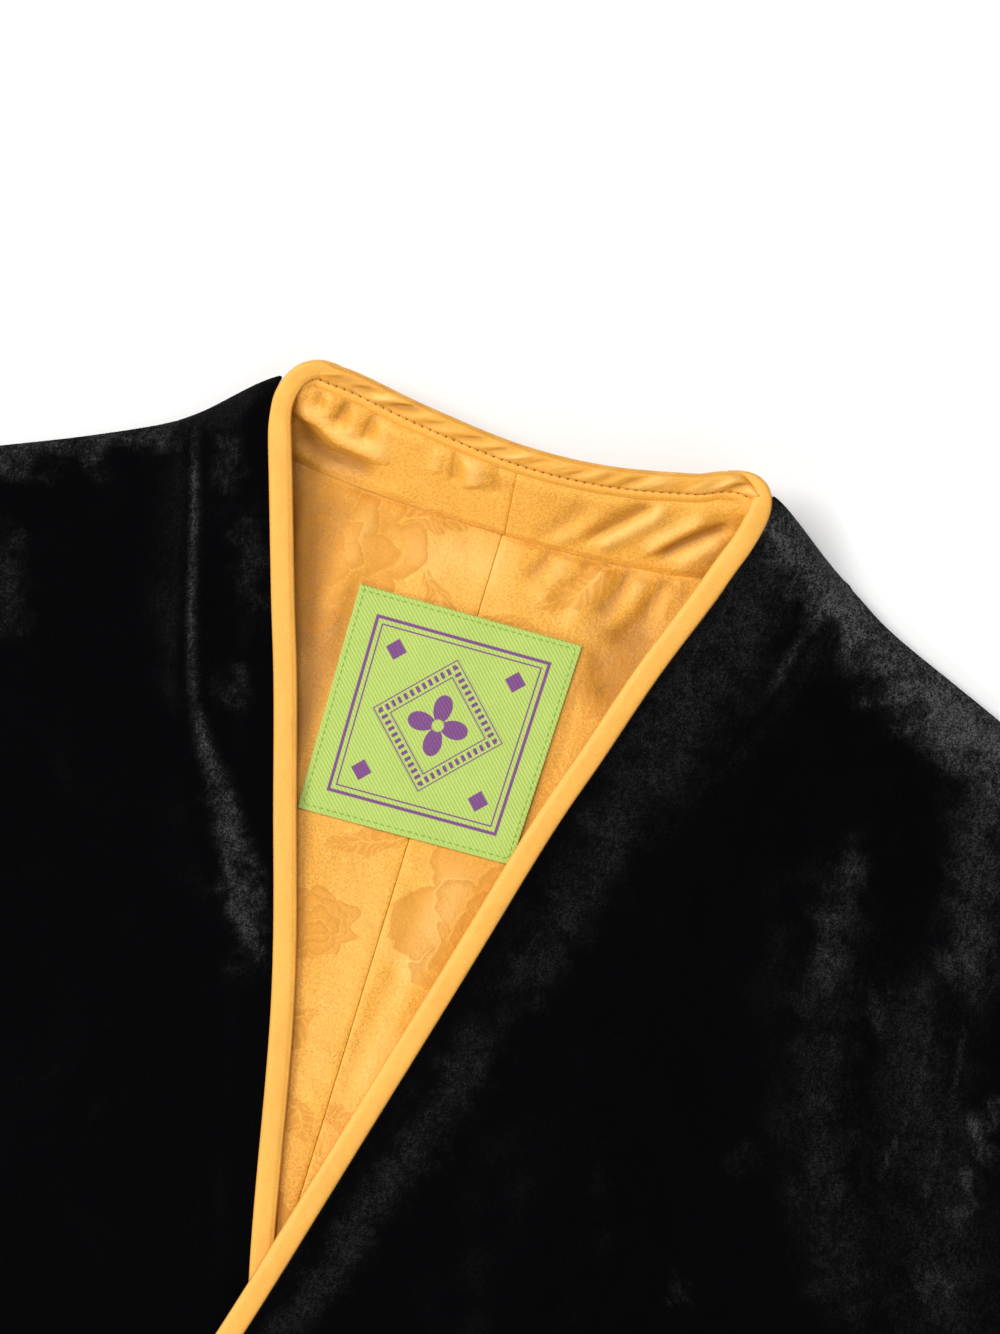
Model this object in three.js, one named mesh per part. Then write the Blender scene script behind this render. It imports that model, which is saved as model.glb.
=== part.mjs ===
// A velvet gilet laid flat on its back, its front upwards and open at the neck.
// Millimetres. x runs across to the wearer's left, y towards the neck, z up from the surface it lies on.
// In the tables, down is the distance below the middle of the collar's top edge, so y = -down.
import * as THREE from "three";

// Driving dimensions
const VELVET = 1.6; // back and outer collar wall
const FRONT_WALL = 2.0; // velvet front with its facing
const SATIN = 1.0; // lining and inner collar wall
const LABEL_WALL = 0.8;
const SEAM_GAP = 0.3; // left between pieces where they are sewn
const BINDING_WIDTH = 7.0;
const BINDING_DEPTH = 3.4;
const BINDING_GAP = 0.4; // between the binding and the cloth edge that it covers
const LENGTH = 598; // collar top to hem
const HALF_HEM = 250;
const HEM_CURVE = 8; // the hem is this much shorter at the sides
const UNDERARM = { x: 238, down: 234 };
const CENTRE_FRONT = -4;
const OVERLAP = 22; // each front runs this far past the centre front
const CLOSING_DOWN = 228; // where the two front edges cross
const NECK_RISE = 13; // how far the grown-on neck stands above the flat front
const NECK_FADE = 75; // length over which that rise dies away down the edge
const NECK_WIDTH = 23; // its width across at the top
const NECK_SPREAD = 0.22; // how fast it widens on the way down
const NECK_FOLD = 0.19; // share of the shoulder line that is the fold of the neck
const COLLAR_RISE = 14.2; // rise of the back collar at its ends
const COLLAR_DIP = 1.6; // how much lower it stands at the centre back
const COLLAR_CURL = 1.25; // over 1, the collar rises slowly at first
const TURN_LIFT = 0.6; // the binding stands higher where it turns the neck corners
const REST_GAP = 0.8; // the fronts clear the lining
const LAP_LIFT = 5.6; // the front on top clears the edge below it
const LAP_REACH = 4; // it stays up this far past that edge
const LAP_RAMP = 34; // width over which it comes down again
const BUTTON_STAND = 12; // half the width that stays flat below the buttons
const STAND_FADE = 26; // width over which the soft ridges begin beside it
const FOLD_WIDTH = 7; // round of the fold along shoulder and side
const PUFF = 2.6; // loft in the middle of a front
const PUFF_WIDTH = 60;
const LINING_INSET = 12; // lining stops short of the back's edges
const HEM_INSET = 18;
const LINING_TOP = 18.2; // where the lining starts at the centre back
const LINING_SPLIT = 4; // the neck's rows nearer the centre-back seam than this are left out
const CENTRE_BACK = -1.5;
const BUTTON = { diameter: 18, height: 4.2, gap: 0.3, sides: 20 };
const BUTTON_DOWNS = [268, 348, 428, 508];
const RIDGE_END = { share: 0.25, left: 0.15 }; // a ridge fades over this share of its path, to this much
const SAMPLES = { ridge: 24, curve: 160, edge: 200 }; // points along a curve when a distance is measured

const BLACK_VELVET = { color: 0x0b0b0d, roughness: 0.85, metalness: 0 };
const GOLD_SATIN = { color: 0xe8a541, roughness: 0.4, metalness: 0 };
const LIME_TWILL = { color: 0xaed35f, roughness: 0.6, metalness: 0 };

// Outlines: each row is one point of a smooth curve
const EDGE_UNDER = [
  { x: -71.2, down: -4.6 },
  { x: -71.4, down: 1 },
  { x: -69.8, down: 11 },
  { x: -65.7, down: 23 },
  { x: -56.0, down: 53 },
  { x: -49.0, down: 74 },
  { x: -40.0, down: 104 },
  { x: -24.5, down: 157 },
  { x: -9.0, down: CLOSING_DOWN },
  { x: 8.0, down: 290 },
  { x: CENTRE_FRONT + OVERLAP, down: 350 },
  { x: CENTRE_FRONT + OVERLAP, down: 430 },
  { x: CENTRE_FRONT + OVERLAP, down: LENGTH - 2 },
];
const EDGE_OVER = [
  { x: 65.6, down: -12.3 },
  { x: 65.3, down: -3 },
  { x: 58.9, down: 18 },
  { x: 50.0, down: 43 },
  { x: 42.5, down: 68 },
  { x: 34.8, down: 93 },
  { x: 22.3, down: 142 },
  { x: -0.5, down: CLOSING_DOWN },
  { x: -17.0, down: 290 },
  { x: CENTRE_FRONT - OVERLAP, down: 350 },
  { x: CENTRE_FRONT - OVERLAP, down: 430 },
  { x: CENTRE_FRONT - OVERLAP, down: LENGTH - 2 },
];
const NECK_SEAM = [
  { x: -89.0, down: 11 },
  { x: -62.5, down: 15 },
  { x: -39.0, down: 17 },
  { x: -1.0, down: 17.6 },
  { x: 29.0, down: 16.4 },
  { x: 54.0, down: 13 },
  { x: 86.5, down: 1.2 },
];
const COLLAR_TOP = [
  { x: -69.0, down: -4.5 },
  { x: -62.0, down: -6 },
  { x: -54.0, down: -6 },
  { x: -31.0, down: -2.4 },
  { x: -2.0, down: 0 },
  { x: 26.0, down: -2.2 },
  { x: 57.0, down: -9.8 },
  { x: 64.0, down: -12.5 },
];
// The binding's middle where it turns from a front to the collar
const TURN_RIGHT = [
  { x: -65.6, down: 11 },
  { x: -67.2, down: 3 },
  { x: -67.4, down: -4 },
  { x: -64.6, down: -8.8 },
  { x: -58.5, down: -10 },
];
const TURN_LEFT = [
  { x: 46.5, down: -10.4 },
  { x: 54.6, down: -13.4 },
  { x: 59.3, down: -13.7 },
  { x: 61.9, down: -10.8 },
  { x: 61.9, down: -5 },
  { x: 60.2, down: 1 },
];
const SHOULDER_RIGHT = [
  { x: -71.2, down: -4.6 },
  { x: -78.0, down: 1.4 },
  { x: -89.0, down: 11 },
  { x: -98.0, down: 17 },
  { x: -117.0, down: 26 },
  { x: -138.0, down: 35 },
  { x: -183.0, down: 54 },
];
const SHOULDER_LEFT = [
  { x: 65.6, down: -12.3 },
  { x: 74.0, down: -7 },
  { x: 86.5, down: 1.2 },
  { x: 96.0, down: 7 },
  { x: 109.0, down: 14 },
  { x: 141.0, down: 27 },
  { x: 180.0, down: 44 },
];
const ARMHOLE_FRONT = [
  { x: 179.0, down: 95 },
  { x: 181.0, down: 140 },
  { x: 193.0, down: 186 },
  { x: 213.0, down: 217 },
];
const ARMHOLE_BACK = [
  { x: 184.0, down: 95 },
  { x: 187.0, down: 140 },
  { x: 198.0, down: 183 },
  { x: 217.0, down: 215 },
];
const SIDE_SEAM = [
  { x: UNDERARM.x, down: UNDERARM.down },
  { x: 237.0, down: 300 },
  { x: 233.0, down: 380 },
  { x: 239.0, down: 470 },
  { x: HALF_HEM, down: LENGTH - 2 - HEM_CURVE },
];
const LABEL_CORNERS = {
  topLeft: { x: -34.4, down: 42 },
  topRight: { x: 28.1, down: 40.5 },
  bottomLeft: { x: -33.0, down: 105 },
  bottomRight: { x: 27.0, down: 103 },
};

// Soft ridges of each front and of the lining: a path, its height and its half width
const RIDGES_RIGHT = [
  { height: 2.2, width: 7, path: [[-84, 32], [-74, 70], [-66, 96], [-50, 125], [-34, 146]] },
  { height: 1.2, width: 6, path: [[-92, 22], [-137, 42], [-176, 60]] },
  { height: 3.0, width: 14, path: [[-150, 70], [-142, 140], [-118, 215]] },
  { height: 3.0, width: 15, path: [[-52, 175], [-84, 235], [-104, 320]] },
  { height: 4.0, width: 18, path: [[-212, 250], [-158, 330], [-128, 450]] },
  { height: 4.0, width: 20, path: [[-54, 360], [-82, 480], [-70, 640]] },
  { height: 3.0, width: 15, path: [[-196, 420], [-186, 520], [-200, 640]] },
];
const RIDGES_LEFT = [
  { height: 2.0, width: 6, path: [[86, 12], [78, 44], [68, 63], [50, 97]] },
  { height: 1.2, width: 6, path: [[92, 16], [111, 26], [150, 44]] },
  { height: 4.5, width: 13, path: [[114, 62], [114, 103], [122, 134], [133, 165], [166, 205]] },
  { height: 2.6, width: 8, path: [[134, 42], [153, 74], [150, 121], [146, 146]] },
  { height: 4.0, width: 16, path: [[70, 150], [62, 205], [76, 270]] },
  { height: 4.5, width: 18, path: [[212, 250], [156, 320], [140, 440]] },
  { height: 4.0, width: 20, path: [[66, 330], [92, 430], [80, 640]] },
  { height: 3.0, width: 14, path: [[200, 430], [190, 520], [206, 640]] },
];
const RIDGES_LINING = [
  { height: 1.3, width: 4, path: [[42, 17], [34, 27], [30, 40]] },
  { height: 1.0, width: 3, path: [[22, 19], [17, 27], [15, 36]] },
  { height: 1.2, width: 4, path: [[54, 16], [52, 30], [44, 46]] },
  { height: 1.0, width: 5, path: [[-52, 20], [-56, 40], [-50, 70]] },
];

// Curves and patches in the plane
const clamp01 = (value) => Math.min(1, Math.max(0, value));
const smooth = (value) => clamp01(value) ** 2 * (3 - 2 * clamp01(value));
const mirrored = (rows) => rows.map((row) => ({ x: -row.x, down: row.down }));
const lerp = (a, b, t) => a + (b - a) * t;

function smoothCurve(rows) {
  const points = rows.map((row) => new THREE.Vector3(row.x, -row.down, 0));
  return new THREE.CatmullRomCurve3(points, false, "catmullrom", 0.5);
}

// A straight side of a patch
const line = (a, b) => smoothCurve([a, { x: lerp(a.x, b.x, 0.5), down: lerp(a.down, b.down, 0.5) }, b]);

// Rows moved square to their curve
function insetRows(rows, inset) {
  return rows.map((row, i) => {
    const before = rows[Math.max(0, i - 1)];
    const after = rows[Math.min(rows.length - 1, i + 1)];
    const dx = after.x - before.x;
    const dd = after.down - before.down;
    const size = Math.hypot(dx, dd);
    return { x: row.x - (inset * dd) / size, down: row.down + (inset * dx) / size };
  });
}

// The point at shares u across and v down of a patch between four curves
function patch(top, bottom, left, right) {
  const at = (curve, s) => curve.getPointAt(clamp01(s));
  const corners = [at(top, 0), at(top, 1), at(bottom, 0), at(bottom, 1)];
  return (u, v) => {
    const ends = at(left, v).multiplyScalar(1 - u).addScaledVector(at(right, v), u);
    const sides = at(top, u).multiplyScalar(1 - v).addScaledVector(at(bottom, u), v);
    return ends
      .add(sides)
      .addScaledVector(corners[0], -(1 - u) * (1 - v))
      .addScaledVector(corners[1], -u * (1 - v))
      .addScaledVector(corners[2], -(1 - u) * v)
      .addScaledVector(corners[3], -u * v);
  };
}

const steps = (count, shape = (s) => s) => Array.from({ length: count + 1 }, (_, i) => shape(i / count));

// Rows of points from one patch, each lifted to its height
function grid(surface, us, vs, height) {
  return vs.map((v) =>
    us.map((u) => {
      const point = surface(u, v);
      point.z = height(point.x, -point.y);
      return point;
    }),
  );
}

// A body panel is one patch above the underarm and one below it
function bodyGrid(outline, us, upper, lower, height) {
  const above = patch(outline.top, outline.level, outline.leftUpper, outline.rightUpper);
  const below = patch(outline.level, outline.hem, outline.leftLower, outline.rightLower);
  const rows = grid(above, us, upper, height);
  return rows.concat(grid(below, us, lower, height).slice(1));
}

// Solids
function closedGeometry(positions, triangles) {
  const geometry = new THREE.BufferGeometry();
  geometry.setAttribute("position", new THREE.Float32BufferAttribute(positions.flat(), 3));
  geometry.setIndex(triangles.flat());
  geometry.computeVertexNormals();
  return geometry;
}

function gridNormals(rows) {
  const last = rows.length - 1;
  const end = rows[0].length - 1;
  return rows.map((row, j) =>
    row.map((_, i) => {
      const across = row[Math.min(end, i + 1)].clone().sub(row[Math.max(0, i - 1)]);
      const along = rows[Math.min(last, j + 1)][i].clone().sub(rows[Math.max(0, j - 1)][i]);
      return along.cross(across).normalize();
    }),
  );
}

function movedOut(rows, distance) {
  const normals = gridNormals(rows);
  const moved = (point, j, i) => point.clone().addScaledVector(normals[j][i], distance);
  return rows.map((row, j) => row.map((point, i) => moved(point, j, i)));
}

// A closed wall of even thickness round a grid of middle points
function wall(rows, thickness) {
  const lastRow = rows.length - 1;
  const lastColumn = rows[0].length - 1;
  const sides = [movedOut(rows, thickness / 2), movedOut(rows, -thickness / 2)];
  const positions = sides.flat(2).map((point) => point.toArray());
  const columns = lastColumn + 1;
  const over = (j, i) => j * columns + i;
  const under = (j, i) => (lastRow + 1) * columns + over(j, i);
  const triangles = [];
  const quad = (a, b, c, d) => triangles.push([a, b, c], [a, c, d]);
  for (let j = 0; j < lastRow; j++)
    for (let i = 0; i < lastColumn; i++) {
      quad(over(j, i), over(j + 1, i), over(j + 1, i + 1), over(j, i + 1));
      quad(under(j, i), under(j, i + 1), under(j + 1, i + 1), under(j + 1, i));
    }
  const rim = (j, i, nextJ, nextI) =>
    quad(over(j, i), over(nextJ, nextI), under(nextJ, nextI), under(j, i));
  for (let i = 0; i < lastColumn; i++) {
    rim(0, i, 0, i + 1);
    rim(lastRow, i + 1, lastRow, i);
  }
  for (let j = 0; j < lastRow; j++) {
    rim(j + 1, 0, j, 0);
    rim(j, lastColumn, j + 1, lastColumn);
  }
  return closedGeometry(positions, triangles);
}

// A rounded strip that runs along frames, each with a centre, a width direction and a face direction
function strip(frames, width, depth, sides = 8) {
  const positions = [];
  for (const { centre, across, face } of frames)
    for (let k = 0; k < sides; k++) {
      const angle = (2 * Math.PI * k) / sides;
      const point = centre.clone();
      point.addScaledVector(across, (Math.cos(angle) * width) / 2);
      point.addScaledVector(face, (Math.sin(angle) * depth) / 2);
      positions.push(point.toArray());
    }
  const triangles = [];
  for (let j = 0; j < frames.length - 1; j++)
    for (let k = 0; k < sides; k++) {
      const next = (k + 1) % sides;
      const [a, b, c, d] = [j * sides + k, j * sides + next, (j + 1) * sides + next, (j + 1) * sides + k];
      triangles.push([a, b, c], [a, c, d]);
    }
  const lastRing = (frames.length - 1) * sides;
  for (let k = 1; k < sides - 1; k++)
    triangles.push([0, k + 1, k], [lastRing, lastRing + k, lastRing + k + 1]);
  return closedGeometry(positions, triangles);
}

// Heights
const LINING_MIDDLE = VELVET + SEAM_GAP + SATIN / 2;
const FRONT_REST = LINING_MIDDLE + SATIN / 2 + REST_GAP + FRONT_WALL / 2;
const SEAM_HEIGHT = VELVET + SEAM_GAP + FRONT_WALL / 2;

// Height of all the ridges at a point; each one fades at both ends of its path
function ridgeField(ridges) {
  const paths = ridges.map(({ height, width, path }) => ({
    height,
    width,
    points: smoothCurve(path.map(([x, down]) => ({ x, down }))).getSpacedPoints(SAMPLES.ridge),
  }));
  return (x, down) => {
    let total = 0;
    for (const { height, width, points } of paths) {
      let best = Infinity;
      let where = 0;
      points.forEach((p, i) => {
        const distance = Math.hypot(p.x - x, -p.y - down);
        if (distance < best) [best, where] = [distance, i / (points.length - 1)];
      });
      const fade = smooth(Math.min(where, 1 - where) / RIDGE_END.share + RIDGE_END.left);
      total += height * fade * Math.exp(-((best / width) ** 2));
    }
    return total;
  };
}

// Where an edge lies across at each distance down
function edgeAcross(rows) {
  const points = smoothCurve(rows).getSpacedPoints(SAMPLES.edge);
  return (down) => {
    const i = Math.max(1, points.findIndex((p) => -p.y >= down));
    const [a, b] = down > -points.at(-1).y ? [points.at(-2), points.at(-1)] : [points[i - 1], points[i]];
    return lerp(a.x, b.x, clamp01((down + a.y) / (a.y - b.y)));
  };
}

// Nearest distance to a curve, with how far along it that is
function nearest(curve) {
  const points = curve.getSpacedPoints(SAMPLES.curve);
  return (x, down) => {
    let best = { distance: Infinity, along: 0 };
    points.forEach((p, i) => {
      const distance = Math.hypot(p.x - x, -p.y - down);
      if (distance < best.distance) best = { distance, along: i / (points.length - 1) };
    });
    return best;
  };
}

const underEdge = edgeAcross(EDGE_UNDER);
const collarLift = (t) => t ** COLLAR_CURL;

// Middle height of a front: it rises at the neck and over the lap, and rounds down at shoulder and side
function frontHeight({ edge, shoulder, side, ridges, lap }) {
  const edgeAt = edgeAcross(edge);
  const corner = edge[0].down;
  const toShoulder = nearest(shoulder);
  const toSide = nearest(side);
  const ridgeAt = ridgeField(ridges);
  return (x, down) => {
    const below = Math.max(0, down - corner);
    const inside = Math.abs(x - edgeAt(down));
    const narrowing = Math.exp(-((inside / (NECK_WIDTH + NECK_SPREAD * below)) ** 2));
    const neck = NECK_RISE * Math.exp(-below / NECK_FADE) * narrowing;
    const over = lap ? LAP_LIFT * smooth(1 + (underEdge(down) + LAP_REACH - x) / LAP_RAMP) : 0;
    const top = toShoulder(x, down);
    const border = Math.min(top.distance, toSide(x, down).distance);
    const puff = PUFF * smooth(border / PUFF_WIDTH) * smooth(inside / PUFF_WIDTH);
    const buttoned = lap && down > CLOSING_DOWN;
    const soft = buttoned ? smooth((Math.abs(x - CENTRE_FRONT) - BUTTON_STAND) / STAND_FADE) : 1;
    const height = FRONT_REST + neck + over + puff + ridgeAt(x, down) * soft;
    const seam = SEAM_HEIGHT + COLLAR_RISE * collarLift(clamp01(1 - top.along / NECK_FOLD));
    const turn = clamp01(border / FOLD_WIDTH);
    return lerp(Math.min(seam, height), height, Math.sqrt(1 - (1 - turn) ** 2));
  };
}

// Outlines of the body panels
const hemDown = (x) => LENGTH - 2 - HEM_CURVE * (x / HALF_HEM) ** 2;
const hem = (left, right) =>
  smoothCurve(steps(6, (s) => lerp(left, right, s)).map((x) => ({ x, down: hemDown(x) })));
const splitEdge = (rows) => {
  const at = rows.findIndex((row) => row.down === CLOSING_DOWN);
  return [smoothCurve(rows.slice(0, at + 1)), smoothCurve(rows.slice(at))];
};
const armhole = (shoulder, rows) => smoothCurve([shoulder.at(-1), ...rows, SIDE_SEAM[0]]);
const armholeMirrored = (shoulder, rows) =>
  smoothCurve([shoulder.at(-1), ...mirrored(rows), mirrored(SIDE_SEAM)[0]]);
const atClosing = (rows) => rows.find((row) => row.down === CLOSING_DOWN);
const reversed = (rows) => [...rows].reverse();

const [underUpper, underLower] = splitEdge(EDGE_UNDER);
const [overUpper, overLower] = splitEdge(EDGE_OVER);
const rightSide = smoothCurve(mirrored(SIDE_SEAM));
const leftSide = smoothCurve(SIDE_SEAM);

const frontRightOutline = {
  top: smoothCurve(reversed(SHOULDER_RIGHT)),
  level: line(mirrored(SIDE_SEAM)[0], atClosing(EDGE_UNDER)),
  hem: hem(-HALF_HEM, EDGE_UNDER.at(-1).x),
  leftUpper: armholeMirrored(SHOULDER_RIGHT, ARMHOLE_FRONT),
  rightUpper: underUpper,
  leftLower: rightSide,
  rightLower: underLower,
};
const frontLeftOutline = {
  top: smoothCurve(SHOULDER_LEFT),
  level: line(atClosing(EDGE_OVER), SIDE_SEAM[0]),
  hem: hem(EDGE_OVER.at(-1).x, HALF_HEM),
  leftUpper: overUpper,
  rightUpper: armhole(SHOULDER_LEFT, ARMHOLE_FRONT),
  leftLower: overLower,
  rightLower: leftSide,
};

const neckLeftShoulder = SHOULDER_LEFT.slice(2);
const neckRightShoulder = SHOULDER_RIGHT.slice(2);
const backNeck = insetRows(NECK_SEAM.slice(1, -1), SEAM_GAP);
const backTop = [...reversed(neckRightShoulder), ...backNeck, ...neckLeftShoulder];
const backOutline = {
  top: smoothCurve(backTop),
  level: line(mirrored(SIDE_SEAM)[0], SIDE_SEAM[0]),
  hem: hem(-HALF_HEM, HALF_HEM),
  leftUpper: armholeMirrored(SHOULDER_RIGHT, ARMHOLE_BACK),
  rightUpper: armhole(SHOULDER_LEFT, ARMHOLE_BACK),
  leftLower: rightSide,
  rightLower: leftSide,
};

// The lining's outline follows the back's, set in from its edges
const sideRows = { upper: [SHOULDER_LEFT.at(-1), ...ARMHOLE_BACK, SIDE_SEAM[0]], lower: SIDE_SEAM };
const otherRows = {
  upper: [SHOULDER_RIGHT.at(-1), ...mirrored(ARMHOLE_BACK), mirrored(SIDE_SEAM)[0]],
  lower: mirrored(SIDE_SEAM),
};
const neckInset = insetRows(NECK_SEAM.slice(1, -1), 2 * SEAM_GAP);

function liningOutline(sign) {
  const seam = CENTRE_BACK + (sign * SEAM_GAP) / 2;
  const side = sign > 0 ? sideRows : otherRows;
  const shoulder = sign > 0 ? neckLeftShoulder : reversed(neckRightShoulder);
  const inset = sign * LINING_INSET;
  const outerUpper = insetRows(side.upper, inset);
  const outerLower = insetRows(side.lower, inset);
  outerLower[0] = outerUpper.at(-1);
  const tip = { x: outerUpper[0].x, down: outerUpper[0].down + LINING_INSET };
  outerUpper[0] = tip;
  const lowered = insetRows(shoulder, LINING_INSET);
  const shoulderInset = sign > 0 ? lowered.slice(1, -1) : lowered;
  const neckHalf = neckInset.filter((row) => (row.x - seam) * sign > LINING_SPLIT);
  const neckPoint = { x: seam, down: LINING_TOP };
  const bottom = { x: seam, down: LENGTH - HEM_INSET };
  const corner = { x: outerLower.at(-1).x, down: bottom.down - HEM_CURVE };
  outerLower[outerLower.length - 1] = corner;
  const level = { x: seam, down: CLOSING_DOWN };
  const outer = { upper: smoothCurve(outerUpper), lower: smoothCurve(outerLower) };
  const middle = { upper: line(neckPoint, level), lower: line(level, bottom) };
  const top =
    sign > 0
      ? [neckPoint, ...neckHalf, ...shoulderInset, tip]
      : [tip, ...shoulderInset.slice(1), ...neckHalf, neckPoint];
  return sign > 0
    ? {
        top: smoothCurve(top),
        level: line(level, outerUpper.at(-1)),
        hem: line(bottom, corner),
        leftUpper: middle.upper,
        rightUpper: outer.upper,
        leftLower: middle.lower,
        rightLower: outer.lower,
      }
    : {
        top: smoothCurve(top),
        level: line(outerUpper.at(-1), level),
        hem: line(corner, bottom),
        leftUpper: outer.upper,
        rightUpper: middle.upper,
        leftLower: outer.lower,
        rightLower: middle.lower,
      };
}

// Middle surfaces, with more columns near the neck's edge and more rows near its top
const CROWDING = 1.35;
const FRONT_COLUMNS = 20;
const towardsEnd = (s) => 1 - (1 - s) ** CROWDING;
const towardsStart = (s) => s ** CROWDING;
const upperRows = steps(24, towardsStart);
const lowerRows = steps(10);
const rightHeight = frontHeight({
  edge: EDGE_UNDER,
  shoulder: smoothCurve(SHOULDER_RIGHT),
  side: rightSide,
  ridges: RIDGES_RIGHT,
  lap: false,
});
const leftHeight = frontHeight({
  edge: EDGE_OVER,
  shoulder: smoothCurve(SHOULDER_LEFT),
  side: leftSide,
  ridges: RIDGES_LEFT,
  lap: true,
});
const rightColumns = steps(FRONT_COLUMNS, towardsEnd);
const leftColumns = steps(FRONT_COLUMNS, towardsStart);
const frontRightRows = bodyGrid(frontRightOutline, rightColumns, upperRows, lowerRows, rightHeight);
const frontLeftRows = bodyGrid(frontLeftOutline, leftColumns, upperRows, lowerRows, leftHeight);
const backRows = bodyGrid(backOutline, steps(24), lowerRows, lowerRows, () => VELVET / 2);

const liningRidges = ridgeField(RIDGES_LINING);
const liningHeight = (x, down) => LINING_MIDDLE + liningRidges(x, down);
const liningRows = (sign) =>
  bodyGrid(liningOutline(sign), steps(14), steps(16, towardsStart), steps(6), liningHeight);

const neckSeam = smoothCurve(NECK_SEAM);
const collarTop = smoothCurve(COLLAR_TOP);

// Collar rows run from the top edge down to the neck seam
function collarRows(from, to, count, lift) {
  return steps(4).map((v) =>
    steps(count).map((s) => {
      const along = lerp(from, to, s);
      const t = lerp(1, lift, v);
      const point = neckSeam.getPointAt(along).lerp(collarTop.getPointAt(along), t);
      const rise = COLLAR_RISE - COLLAR_DIP * Math.sin(Math.PI * along);
      point.z = VELVET / 2 + rise * collarLift(t);
      return point;
    }),
  );
}

const OUTER_START = 0.06; // each collar wall starts this share of its height above the neck seam
const INNER_START = 0.08;
const OUTER_END = 0.05; // shares of the collar's length that the fronts and the binding cover
const INNER_END = 0.09;
const CENTRE_ALONG = 0.497;
const HALF_SEAM = 0.001;
const innerOffset = VELVET / 2 + SEAM_GAP + SATIN / 2;
const outerCollar = collarRows(OUTER_END, 1 - OUTER_END, 32, OUTER_START);
const innerCollar = (from, to) => movedOut(collarRows(from, to, 16, INNER_START), innerOffset);
const innerCollarRight = innerCollar(INNER_END, CENTRE_ALONG - HALF_SEAM);
const innerCollarLeft = innerCollar(CENTRE_ALONG + HALF_SEAM, 1 - INNER_END);

// The binding's middle lies just past the cloth's edge
const BEYOND = BINDING_WIDTH / 2 + BINDING_GAP;
const TURN_SPACE = 2; // left between the turns' frames and the others
const UP = new THREE.Vector3(0, 0, 1);

// Along a front, from its neck corner down to the hem
function bindingOnFront(rows, edge, sign, turn) {
  const lowest = Math.max(...turn.map((row) => row.down));
  return rows
    .map((row, j) => {
      const next = rows[Math.min(rows.length - 1, j + 1)][edge];
      const along = next.clone().sub(rows[Math.max(0, j - 1)][edge]).setZ(0).normalize();
      const inwards = new THREE.Vector3(-along.y, along.x, 0).multiplyScalar(sign);
      return { centre: row[edge].clone().addScaledVector(inwards, BEYOND), face: UP.clone() };
    })
    .filter(({ centre }) => -centre.y > lowest + TURN_SPACE);
}

function bindingOnCollar() {
  const rows = collarRows(0, 1, 32, OUTER_START);
  const normals = gridNormals(rows);
  const [from, to] = [TURN_RIGHT.at(-1).x, TURN_LEFT[0].x];
  return rows[0]
    .map((point, i) => {
      const across = point.clone().sub(rows[1][i]).normalize();
      return { centre: point.clone().addScaledVector(across, BEYOND), face: normals[0][i] };
    })
    .filter(({ centre }) => centre.x > from + TURN_SPACE && centre.x < to - TURN_SPACE);
}

function bindingTurn(rows, start, end) {
  const curve = smoothCurve(rows);
  return steps(8).map((s) => {
    const centre = curve.getPointAt(s);
    centre.z = lerp(start.centre.z, end.centre.z, smooth(s)) + TURN_LIFT * Math.sin(Math.PI * s);
    return { centre, face: start.face.clone().lerp(end.face, smooth(s)) };
  });
}

// Up one front, round the collar and down the other
function bindingFrames() {
  const up = bindingOnFront(frontRightRows, FRONT_COLUMNS, 1, TURN_RIGHT).reverse();
  const down = bindingOnFront(frontLeftRows, 0, -1, TURN_LEFT);
  const collar = bindingOnCollar();
  const first = bindingTurn(TURN_RIGHT, up.at(-1), collar[0]);
  const last = bindingTurn(TURN_LEFT, collar.at(-1), down[0]);
  const middles = [...up, ...first, ...collar, ...last, ...down];
  return middles.map(({ centre, face }, i) => {
    const after = middles[Math.min(middles.length - 1, i + 1)].centre;
    const along = after.clone().sub(middles[Math.max(0, i - 1)].centre).normalize();
    const across = face.clone().cross(along).normalize();
    return { centre, across, face: along.cross(across) };
  });
}

// The label lies on the lining, so its points are the lining's, moved out
function labelRows() {
  const { topLeft, topRight, bottomLeft, bottomRight } = LABEL_CORNERS;
  const surface = patch(
    line(topLeft, topRight),
    line(bottomLeft, bottomRight),
    line(topLeft, bottomLeft),
    line(topRight, bottomRight),
  );
  return movedOut(grid(surface, steps(7), steps(7), liningHeight), SATIN / 2 + SEAM_GAP + LABEL_WALL / 2);
}

// A covered button: a low dome on a short shank, by shares of its radius and height
const BUTTON_SECTION = [
  { out: 0, up: 0 },
  { out: 0.33, up: 0 },
  { out: 0.33, up: 0.24 },
  { out: 0.89, up: 0.29 },
  { out: 1, up: 0.52 },
  { out: 0.8, up: 0.83 },
  { out: 0.4, up: 0.98 },
  { out: 0, up: 1 },
];
function buttonGeometry() {
  const radius = BUTTON.diameter / 2;
  const section = BUTTON_SECTION.map(({ out, up }) => new THREE.Vector2(out * radius, up * BUTTON.height));
  return new THREE.LatheGeometry(section, BUTTON.sides).rotateX(Math.PI / 2);
}

const gilet = new THREE.Group();
const garment = new THREE.Group();
gilet.add(garment);

function add(name, geometry, finish) {
  const mesh = new THREE.Mesh(geometry, new THREE.MeshStandardMaterial(finish));
  mesh.name = name;
  garment.add(mesh);
  return mesh;
}

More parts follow.
